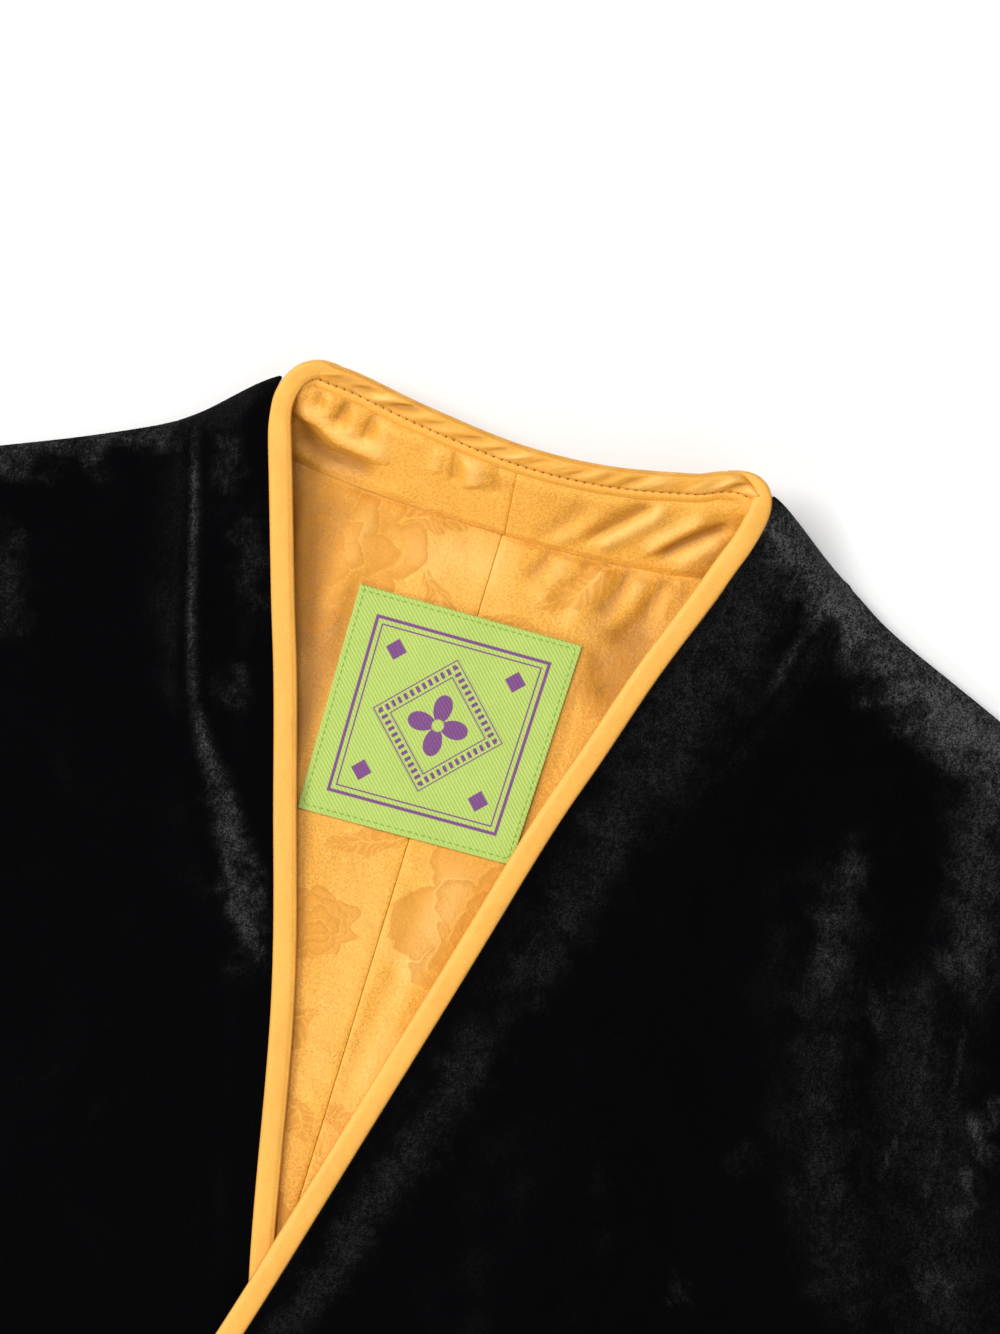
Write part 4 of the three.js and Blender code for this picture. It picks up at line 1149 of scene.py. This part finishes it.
def collar_binding():
    """Middle line and face of the strip along the collar's top edge, tucked under both corners."""
    rows = collar_points(0.0, 1.0, 16, 0.06, columns=150)
    points, faces = rows[0] + unit(rows[0] - rows[6]) * BEYOND, grid_normals(rows)[3]
    keep = (points[:, 0] > -58) & (points[:, 0] < 46)
    points, faces = points[keep], faces[keep]
    start = [(x, -down, points[0, 2] - 0.4) for x, down in STRIP_START]
    end = [(x, -down, points[-1, 2] - 0.4) for x, down in STRIP_END]
    faces = np.vstack([np.repeat(faces[:1], len(start), 0), faces, np.repeat(faces[-1:], len(end), 0)])
    return np.vstack([start, points, end]), faces


def turned_binding(front, turn, collar):
    """A front's binding with its turn round the neck corner, how far its face turns, and its inner reach."""
    turn = np.array(turn, float)
    curve = Curve(turn[:, :2])
    s = np.linspace(0, 1, 40)
    plan = curve.at(s)
    distance = np.hypot(collar[:, 0] - plan[-1, 0], collar[:, 1] - plan[-1, 1])
    last = collar[int(np.argmin(distance)), 2]
    height = mix(front[-1, 2], last, smooth(s * 1.15)) + TURN_LIFT * np.sin(np.pi * s)
    # The end is tucked in behind the collar's strip
    height = height - 2.4 * smooth((s - 0.72) / 0.28)
    inner = np.interp(s, curve.nearest(turn[:, 0], -turn[:, 1])[1], turn[:, 2])
    points = np.vstack([front, np.column_stack([plan, height])])
    tilt = np.concatenate([np.zeros(len(front)), smooth(s)])
    return points, tilt, np.concatenate([np.full(len(front), turn[0, 2]), inner])


def frames_along(points, faces, values, step):
    """Even frames along a line: its points, its width's direction, its face, values and lengths."""
    lengths = np.concatenate([[0], np.cumsum(np.linalg.norm(np.diff(points, axis=0), axis=1))])
    even = np.linspace(0, lengths[-1], int(lengths[-1] / step))
    pick = lambda rows: np.stack([np.interp(even, lengths, rows[:, k]) for k in range(rows.shape[1])], 1)
    points, faces, values = softened(pick(points), 2), softened(pick(faces), 4), pick(values)
    tangents = unit(np.gradient(points, axis=0))
    faces = unit(faces - tangents * (faces * tangents).sum(1, keepdims=True))
    return points, np.cross(faces, tangents), faces, values, even


def softened(rows, reach):
    """Rows averaged with their neighbours, with the ends kept."""
    weights = np.exp(-((np.arange(-3 * reach, 3 * reach + 1) / reach) ** 2) / 2)
    weights /= weights.sum()
    padded = np.vstack([2 * rows[0] - rows[3 * reach:0:-1], rows, 2 * rows[-1] - rows[-2:-3 * reach - 2:-1]])
    return np.stack([np.convolve(padded[:, k], weights, "valid") for k in range(rows.shape[1])], 1)


def section(sides):
    """Shares across and out of a squarish round section."""
    angles = np.linspace(0, FULL_TURN, sides + 1)[:-1]
    shaped = lambda wave, power: np.sign(wave) * np.abs(wave) ** power
    return shaped(np.cos(angles), 0.7)[None], shaped(np.sin(angles), 0.56)[None]


def roll_section(inner, lengths, seed):
    """The binding on a front: a flattened roll, whose inner side draws back as it runs out over the collar."""
    across, rise = section(52)
    outer, inner = BINDING_WIDTH / 2 + 0.3, inner[:, None]
    half = (outer + inner) / 2
    share = np.clip(half * 2 / BINDING_WIDTH, 0, 1)
    width = (outer - inner) / 2 + half * across
    lengths = lengths[:, None]
    uneven = 0.07 * ripple(lengths, width * 1.5, 17, seed) + 0.03 * ripple(lengths, width, 5, seed + 1)
    shoulder = -0.16 * np.exp(-(((width + inner - 0.75) / 0.35) ** 2)) * share
    crown = BINDING_DEPTH / 2 * rise * share**0.6 + np.maximum(rise, 0) * (uneven + shoulder) * share
    return width, crown


def strip_folds(lengths, width):
    """The slanting folds of the strip, of about unit height."""
    slant = lengths[:, None] - width * 1.5
    folds = ripple(slant, width * 0, 10, 33) + 0.25 * ripple(slant, width, 5, 35)
    return folds * np.exp(-(((width - 1.1) / 2.2) ** 2))


def strip_section(lengths):
    """The strip inside the collar: flat and folded askew, sewn down above a welt on the facing."""
    across, rise = section(72)
    ends = np.minimum(lengths, lengths[-1] - lengths)[:, None]
    outer = BINDING_WIDTH / 2 * (0.35 + 0.65 * smooth(ends / 9)) * across
    width = np.where(across > 0, outer, 1.30 * BINDING_WIDTH / 2 * across)
    lip = smooth((-width - 1.6) / 1.4)
    middle, half = 1.6 * lip, BINDING_DEPTH / 2 - 1.15 * lip
    groove = -0.6 * np.exp(-(((width - STITCH_LINE) / 0.30) ** 2))
    folds = 0.36 * strip_folds(lengths, width)
    pulled = 0.10 * np.cos(FULL_TURN * lengths[:, None] / 2.3) * np.exp(-(((width - STITCH_LINE) / 0.9) ** 2))
    crown = middle + half * rise + np.maximum(rise, 0) * (groove + folds + pulled + 0.1)
    return width, crown


def binding_strips(step=1.15):
    """Frames and sections of the binding's lengths: up one front, down the other, and the collar's strip."""
    collar, collar_face = collar_binding()
    strips = []
    for side, turn, near, seed in ((FRONT_UNDER, TURN_RIGHT, 0, 34), (FRONT_OVER, TURN_LEFT, -1, 37)):
        front = front_binding(side, turn[0][1] + 0.5)
        points, tilt, width = turned_binding(front, turn, collar)
        faces = mix(np.array([[0.0, 0.0, 1.0]]), collar_face[near][None], tilt[:, None])
        if near:
            points, faces, width = points[::-1], faces[::-1], width[::-1]
        centres, across, out, values, lengths = frames_along(points, faces, width[:, None], step)
        strips.append((centres, across, out, *roll_section(values[:, 0], lengths, seed), lengths))
    centres, across, out, _, lengths = frames_along(collar, collar_face, collar[:, :1], min(step, 0.6))
    strips.append((centres, across, out, *strip_section(lengths), lengths))
    return strips


class GILET_OT_binding(bpy.types.Operator):
    """Make the satin binding that runs round both fronts and the collar"""

    bl_idname = "gilet.binding"
    bl_label = "Satin binding"

    def execute(self, context):
        vertices, faces, uvs, shade, count, total = [], [], [], [], 0, 0.0
        for number, (centres, across, out, width, crown, lengths) in enumerate(binding_strips()):
            rings = centres[:, None] + across[:, None] * width[..., None] + out[:, None] * crown[..., None]
            around = np.concatenate([[0], np.cumsum(np.hypot(np.diff(width[0]), np.diff(crown[0])))])
            uvs.append(np.stack(np.meshgrid(around, total + lengths), -1).reshape(-1, 2))
            # Painted shade and highlight across the strip's slanting folds, and an even painted highlight on the
            # rolls
            drawn = -0.5 * strip_folds(lengths, width) if number == 2 else np.full(width.shape, ROLL_SHINE)
            shade.append(np.clip(drawn, -1, 1).ravel())
            points, quads = swept(rings)
            faces += [[i + count for i in face] for face in quads]
            vertices.append(points)
            count += len(points)
            total += float(lengths[-1])
        values = {"fold": np.concatenate(shade)}
        piece = make_object("satin_binding", np.vstack(vertices), faces, np.vstack(uvs), values)
        finish_piece(piece, "binding", satin_material("Binding satin", strip=True))
        return {"FINISHED"}


LABEL_COLUMNS = 84


def label_points(count):
    """Middle points of the label, moved out from the lining's."""
    top_left, top_right, low_left, low_right = LABEL_CORNERS.values()
    shares = with_rim(spaced(count), LABEL_SIDE, LABEL_WALL / 2)
    level = line(top_left, top_right), line(low_left, low_right)
    upright = line(top_left, low_left), line(top_right, low_right)
    plan = patch(*level, *upright, shares, shares)
    x, y = plan[..., 0], plan[..., 1]
    lift = SATIN / 2 + SEAM_GAP + LABEL_WALL / 2
    height = lining_height(x, y, False) + lift + 0.10 * (1 + ripple(x, y, 30, 41))
    return np.dstack([plan, height]), shares


def label_seam(inset):
    """Points of the seam on top of the label, all round it and a little in from its edge."""
    points, shares = label_points(LABEL_COLUMNS)
    inset = inset / LABEL_SIDE
    there = np.linspace(inset, 1 - inset, 60)
    near, far, back = np.full(60, inset), np.full(60, 1 - inset), there[::-1]
    across = np.concatenate([there, far[1:], back[1:], near[1:]])
    down = np.concatenate([near, there[1:], far[1:], back[1:]])
    columns, rows = (np.interp(place, shares, np.arange(len(shares))) for place in (across, down))
    return points[rows.round().astype(int), columns.round().astype(int)] + np.array([0, 0, LABEL_WALL / 2])


def label_material():
    """Woven label: lime twill with fine slanting ribs and a plain woven ornament in purple."""
    material, n, shader = new_material(
        "Label twill", Roughness=0.55, Specular_IOR_Level=0.3, Sheen_Weight=0.1,
    )
    colours = bpy.context.scene.gilet_colours
    cut = n.add("ShaderNodeUVMap", uv_map="cut")
    u, v = n.add("ShaderNodeSeparateXYZ", cut).node.outputs[:2]
    slant = n.wave("SINE", n.math("SUBTRACT", u, v), 1.25)
    fine = n.wave("SINE", n.math("MULTIPLY_ADD", v, 0.3, u), 0.36)
    ribs = n.math("MULTIPLY_ADD", slant, 0.7, n.math("MULTIPLY", fine, 0.3))
    design = label_ornament(n, *(n.math("SUBTRACT", part, LABEL_SIDE / 2) for part in (u, v)))
    base = n.group(colour_drift_group(), Vector=cut, Color=(*colours.label, 1.0), Scale=0.12, Amount=0.14)
    lime = n.shaded(base["Color"], n.math("MULTIPLY_ADD", ribs, 0.11, 0.93))
    colour = n.blend(n.math("MULTIPLY", design, 0.95), lime, (*colours.label_motif, 1.0))
    n.set(shader.inputs["Base Color"], colour)
    n.set(shader.inputs["Normal"], n.bump(n.math("MULTIPLY_ADD", design, 0.8, ribs), 0.6, 0.00012))
    return material


# The ornament's frames, in millimetres from its middle: (half size, half width of the line)
SQUARE_LINES = [(24.4, 0.45), (22.6, 0.2)]
DIAMOND_LINES = [(18.6, 0.22), (13.7, 0.22)]
DIAMOND_BARS, BAR_PITCH = (16.2, 1.3), 2.7


def label_ornament(n, x, y):
    """Mask of the ornament: square frames, four lozenges, a turned square of small bars, and a blossom."""
    ax, ay = n.math("ABSOLUTE", x), n.math("ABSOLUTE", y)
    square, diamond = n.math("MAXIMUM", ax, ay), n.math("ADD", ax, ay)

    def band(value, middle, half):
        off = n.math("ABSOLUTE", n.math("SUBTRACT", value, middle))
        return n.ramp(off, half + 0.12, half - 0.12)

    radius = n.math("SQRT", n.math("ADD", n.math("POWER", x, 2.0), n.math("POWER", y, 2.0)))
    lobes = n.math("ABSOLUTE", n.math("COSINE", n.math("MULTIPLY", n.math("ARCTAN2", y, x), 2.0)))
    petals = n.ramp(n.math("SUBTRACT", n.math("MULTIPLY_ADD", lobes, 7.0, 1.6), radius), -0.1, 0.15)
    design = n.math("MULTIPLY", petals, n.ramp(radius, 1.5, 1.9))
    from_lozenge = [n.math("ABSOLUTE", n.math("SUBTRACT", part, 17.0)) for part in (ax, ay)]
    bars = n.ramp(n.wave("COSINE", n.math("SUBTRACT", ax, ay), BAR_PITCH), -0.1, 0.1)
    marks = [n.ramp(n.math("ADD", *from_lozenge), 3.1, 2.9), n.math("MULTIPLY", bars, band(diamond, *DIAMOND_BARS))]
    marks += [band(square, *row) for row in SQUARE_LINES] + [band(diamond, *row) for row in DIAMOND_LINES]
    for mark in marks:
        design = n.math("MAXIMUM", design, mark)
    return design


class GILET_OT_label(bpy.types.Operator):
    """Make the square woven label on the lining"""

    bl_idname = "gilet.label"
    bl_label = "Woven label"

    def execute(self, context):
        points, shares = label_points(LABEL_COLUMNS)
        uvs = np.stack(np.meshgrid(shares, shares), -1) * LABEL_SIDE
        piece = cloth_wall("woven_label", points, LABEL_WALL, uvs)
        finish_piece(piece, "label", label_material())
        return {"FINISHED"}


# A button's shank and the underside of its cover: (share of its radius, share of its height)
BUTTON_SIDE = [(0.0, 0.0), (0.33, 0.0), (0.33, 0.24), (0.86, 0.28), (0.95, 0.32), (0.995, 0.42), (1.0, 0.52)]


class GILET_OT_buttons(bpy.types.Operator):
    """Make the velvet-covered buttons of the lap"""

    bl_idname = "gilet.buttons"
    bl_label = "Covered buttons"

    def execute(self, context):
        angles = FULL_TURN * np.arange(48) / 48
        dome = [(math.cos(a) ** 0.8, 0.52 + 0.48 * math.sin(a)) for a in np.linspace(0.15, math.pi / 2, 11)]
        share, lift = np.array(BUTTON_SIDE + dome).T[:, :, None]
        share = share * (1 + 0.012 * np.cos(12 * angles) * ((lift > 0.25) & (lift < 0.6)))
        for i in range(1, BUTTONS + 1):
            low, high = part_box(f"button_{i}")
            centre, radius = (low + high) / 2, (high.x - low.x) / 2
            x, y = centre.x + radius * share * np.cos(angles), centre.y + radius * share * np.sin(angles)
            vertices, faces = swept(np.dstack([x, y, low.z + (high.z - low.z) * lift + 0 * share]))
            mesh = bpy.data.meshes.new(f"covered_button_{i}")
            mesh.from_pydata(vertices.tolist(), [], faces[:-2])
            piece = linked(mesh)
            piece.modifiers.new("weld", "WELD").merge_threshold = 1e-6
            solid = made_plain(piece)
            solid.polygons.foreach_set("use_smooth", [True] * len(solid.polygons))
            nap = solid.attributes.new("nap", "FLOAT", "POINT")
            nap.data.foreach_set("value", [0.5] * len(solid.vertices))
            finish_piece(piece, f"button_{i}", velvet_material())
        return {"FINISHED"}


# Stitches
def stitch_tree():
    """Geometry Nodes: short threads laid end to end along a path."""
    tree = bpy.data.node_groups.new("Stitches along a seam", "GeometryNodeTree")
    for name, kind, default in (
        ("Path", "NodeSocketGeometry", None),
        ("Pitch", "NodeSocketFloat", 2.3 * MM),
        ("Stitch length", "NodeSocketFloat", 1.7 * MM),
        ("Thread radius", "NodeSocketFloat", 0.22 * MM),
        ("Material", "NodeSocketMaterial", None),
    ):
        socket = tree.interface.new_socket(name=name, in_out="INPUT", socket_type=kind)
        if default is not None:
            socket.default_value = default
    tree.interface.new_socket(name="Stitches", in_out="OUTPUT", socket_type="NodeSocketGeometry")
    n = Nodes(tree)
    given = n.named("NodeGroupInput").outputs
    path = n.add("GeometryNodeMeshToCurve", given["Path"])
    spots = n.add("GeometryNodeResampleCurve", path, mode="LENGTH").node
    n.set(spots.inputs["Length"], given["Pitch"])
    thread = n.named("GeometryNodeMeshUVSphere", Segments=8, Rings=6, Radius=1.0)
    thread = n.add("GeometryNodeSetShadeSmooth", thread.outputs["Mesh"])
    half = n.math("MULTIPLY", given["Stitch length"], 0.5)
    size = n.add("ShaderNodeCombineXYZ", given["Thread radius"], given["Thread radius"], half)
    turn = n.named("FunctionNodeAlignRotationToVector", Vector=n.add("GeometryNodeInputTangent"))
    turn.axis = "Z"
    laid = n.named(
        "GeometryNodeInstanceOnPoints",
        Points=spots.outputs[0], Instance=thread, Rotation=turn.outputs[0], Scale=size,
    )
    real = n.add("GeometryNodeRealizeInstances", laid.outputs[0])
    coloured = n.named("GeometryNodeSetMaterial", Geometry=real, Material=given["Material"])
    n.named("NodeGroupOutput", Stitches=coloured.outputs[0])
    return tree


def stitched(name, path, slot, **inputs):
    """One piece of stitches along a path of points in the table's millimetres."""
    mesh = bpy.data.meshes.new(name)
    mesh.from_pydata(to_frame(path).tolist(), [(i, i + 1) for i in range(len(path) - 1)], [])
    piece = linked(mesh)
    tree = bpy.data.node_groups.get("Stitches along a seam") or stitch_tree()
    modifier = piece.modifiers.new("stitches", "NODES")
    modifier.node_group = tree
    sockets = {item.name: item.identifier for item in tree.interface.items_tree if item.in_out == "INPUT"}
    for key, value in inputs.items():
        modifier[sockets[key.replace("_", " ")]] = value
    made_plain(piece)
    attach(piece, "root")


def thread_material(name, colour):
    """Fine twisted thread."""
    material, n, shader = new_material(name, Roughness=0.5)
    place = n.add("ShaderNodeTexCoord", out=3)
    twist = n.group(colour_drift_group(), Vector=place, Color=(*colour, 1.0), Scale=900.0, Amount=0.5)
    n.set(shader.inputs["Base Color"], twist["Color"])
    n.set(shader.inputs["Normal"], n.bump(twist["Cloud"], 0.5, 0.0001))
    return material


class GILET_OT_stitches(bpy.types.Operator):
    """Sew the collar strip and the label down with rows of stitches"""

    bl_idname = "gilet.stitches"
    bl_label = "Stitches"

    def execute(self, context):
        sizes, colours = context.scene.gilet_sizes, context.scene.gilet_colours
        gold = thread_material("Golden thread", colours.thread)
        lime = thread_material("Lime thread", colours.label_thread)
        # Tiny dark discs between the stitches: painted shade in the needle holes
        hole_shade = thread_material("Needle hole", (0.09, 0.03, 0.004))
        step = 0.5
        centres, across, out, *_ = binding_strips(step)[2]
        row = centres + across * STITCH_LINE + out * (BINDING_DEPTH / 2 - 0.22)
        row, out = row[6:-6], out[6:-6]
        stitched(
            "collar_stitches", row, "binding_satin", Material=gold, Pitch=sizes.stitch_pitch,
            Stitch_length=sizes.stitch_length, Thread_radius=sizes.thread_radius,
        )
        half = int(sizes.stitch_pitch / MM / 2 / step)
        # Painted shade in the needle holes, half a stitch along from the threads
        stitched(
            "collar_needle_holes", row[half:] + out[half:] * 0.06, "binding_satin", Material=hole_shade,
            Pitch=sizes.stitch_pitch, Stitch_length=0.5 * MM, Thread_radius=0.2 * MM,
        )
        stitched(
            "label_stitches", label_seam(1.6), "label_twill", Material=lime,
            Pitch=1.9 * MM, Stitch_length=1.3 * MM, Thread_radius=0.21 * MM,
        )
        return {"FINISHED"}


# Stage
# What the picture shows: its height in pixels and their size, how far it is turned, and its middle in the tables
PICTURE = {"height": 1334, "mm_per_pixel": 0.27, "turn": math.radians(17.0), "centre": (8.4, 52.5)}
LENS, SENSOR = 100.0, 36.0
FLOOR_REACH, FLOOR_LEVEL = 4.0, -0.0004
# Softboxes: name, place from the picture's middle, side, and colour, in metres
SOFTBOXES = [
    ("key", (-1.2, 0.25, 1.25), 0.7, (1.0, 0.985, 0.96)),
    ("low", (-0.35, -1.15, 0.85), 0.5, (1.0, 0.99, 0.97)),
    ("fill", (1.2, -0.3, 1.2), 1.2, (0.97, 0.985, 1.0)),
    ("overhead", (-0.35, 0.35, 1.4), 0.5, (1.0, 1.0, 1.0)),
]


class GILET_OT_stage(bpy.types.Operator):
    """Lay a pale floor, soft studio lights and the camera above the neck"""

    bl_idname = "gilet.stage"
    bl_label = "Stage"

    def execute(self, context):
        scene, look = context.scene, context.scene.gilet_light
        mesh = bpy.data.meshes.new("floor")
        corners = [(x * FLOOR_REACH, y * FLOOR_REACH, FLOOR_LEVEL) for x, y in ((-1, -1), (1, -1), (1, 1), (-1, 1))]
        mesh.from_pydata(corners, [], [(0, 1, 2, 3)])
        material, n, shader = new_material("Pale floor", Roughness=0.9)
        tone = n.noise(n.add("ShaderNodeTexCoord", out=3), 3.0)
        n.set(shader.inputs["Base Color"], n.blend(tone, (0.93, 0.93, 0.93, 1), (0.95, 0.95, 0.95, 1)))
        mesh.materials.append(material)
        linked(mesh)
        x, down = PICTURE["centre"]
        centre = Vector(((ZERO_X + x) * MM, (ZERO_Y - down) * MM, 0.008))
        for name, place, side, colour in SOFTBOXES:
            light = bpy.data.lights.new(f"{name} softbox", "AREA")
            light.shape, light.size, light.energy, light.color = "SQUARE", side, getattr(look, name), colour
            lamp = linked(light)
            lamp.location = centre + Vector(place)
            lamp.rotation_euler = (centre - lamp.location).to_track_quat("-Z", "Y").to_euler()
        world = bpy.data.worlds.new("Studio")
        world.use_nodes = True
        background = world.node_tree.nodes["Background"]
        background.inputs["Color"].default_value = (1.0, 1.0, 1.0, 1.0)
        background.inputs["Strength"].default_value = look.room
        scene.world = world
        scene.view_settings.view_transform = "Standard"
        data = bpy.data.cameras.new("camera")
        data.lens, data.sensor_width = LENS, SENSOR
        camera = linked(data)
        height = PICTURE["height"] * PICTURE["mm_per_pixel"] * MM * LENS / SENSOR
        camera.location = centre + Vector((0, 0, height))
        camera.rotation_euler = (0, 0, PICTURE["turn"])
        scene.camera = camera
        return {"FINISHED"}


def length_property(name, description, default):
    return FloatProperty(name=name, description=description, default=default * MM, unit="LENGTH")


def colour_property(name, description, default):
    return FloatVectorProperty(name=name, description=description, default=default, subtype="COLOR", min=0, max=1)


def power_property(name, description, default):
    return FloatProperty(name=name, description=description, default=default, unit="POWER")


class GiletSizes(bpy.types.PropertyGroup):
    stitch_pitch: length_property("Stitch pitch", "Distance between stitches on the collar", 2.3)
    stitch_length: length_property("Stitch length", "Length of one stitch", 1.7)
    thread_radius: length_property("Thread radius", "Half the thread's thickness", 0.2)


class GiletColours(bpy.types.PropertyGroup):
    velvet: colour_property("Velvet", "The pile seen face on", (0.0012, 0.0012, 0.0016))
    # The velvet's grey: crushed pile, and painted sheen
    velvet_crush_and_sheen: colour_property("Velvet crush and sheen", "The pile where it is turned or crushed", (0.076, 0.076, 0.077))
    satin: colour_property("Satin", "Binding, collar facing and lining", (0.74, 0.335, 0.040))
    # Painted shade in the satin's folds and painted highlight on their ridges
    satin_painted_shade: colour_property("Satin painted shade", "The satin deep in a fold", (0.24, 0.068, 0.002))
    satin_painted_highlight: colour_property("Satin painted highlight", "The satin along the top of a fold", (0.95, 0.59, 0.20))
    satin_figure: colour_property("Woven flowers", "The flowers of the lining", (0.56, 0.215, 0.013))
    label: colour_property("Label", "The label's ground", (0.43, 0.57, 0.125))
    label_motif: colour_property("Label ornament", "The label's ornament", (0.16, 0.03, 0.20))
    thread: colour_property("Thread", "Stitches of the collar", (0.62, 0.27, 0.03))
    label_thread: colour_property("Label thread", "Stitches of the label", (0.22, 0.42, 0.045))


class GiletLight(bpy.types.PropertyGroup):
    key: power_property("Key", "Power of the key softbox", 17.0)
    low: power_property("Low", "Power of the softbox beyond the hem", 10.0)
    fill: power_property("Fill", "Power of the fill softbox", 4.0)
    overhead: power_property("Overhead", "Power of the softbox above the neck", 10.0)
    room: FloatProperty(name="Room", description="Brightness of the white room", default=0.24, min=0)


class GILET_PT_panel(bpy.types.Panel):
    """Sizes, colours and steps of the gilet"""

    bl_idname = "GILET_PT_panel"
    bl_label = "Gilet"
    bl_space_type = "VIEW_3D"
    bl_region_type = "UI"
    bl_category = "Gilet"

    def draw(self, context):
        for group in (context.scene.gilet_sizes, context.scene.gilet_colours, context.scene.gilet_light):
            box = self.layout.box()
            for key in group.__annotations__:
                box.prop(group, key)
        for step in STEPS:
            self.layout.operator(step.bl_idname)


STEPS = (
    GILET_OT_stage, GILET_OT_fronts, GILET_OT_back, GILET_OT_collar, GILET_OT_lining, GILET_OT_binding,
    GILET_OT_label, GILET_OT_buttons, GILET_OT_stitches,
)
GROUPS = {"gilet_sizes": GiletSizes, "gilet_colours": GiletColours, "gilet_light": GiletLight}


def register():
    for one in (*GROUPS.values(), *STEPS, GILET_PT_panel):
        bpy.utils.register_class(one)
    for key, group in GROUPS.items():
        setattr(bpy.types.Scene, key, PointerProperty(type=group))


def unregister():
    for key in GROUPS:
        delattr(bpy.types.Scene, key)
    for one in (GILET_PT_panel, *reversed(STEPS), *reversed(GROUPS.values())):
        bpy.utils.unregister_class(one)


def main():
    register()
    for step in STEPS:
        area, name = step.bl_idname.split(".")
        getattr(getattr(bpy.ops, area), name)()


if __name__ == "__main__":
    main()
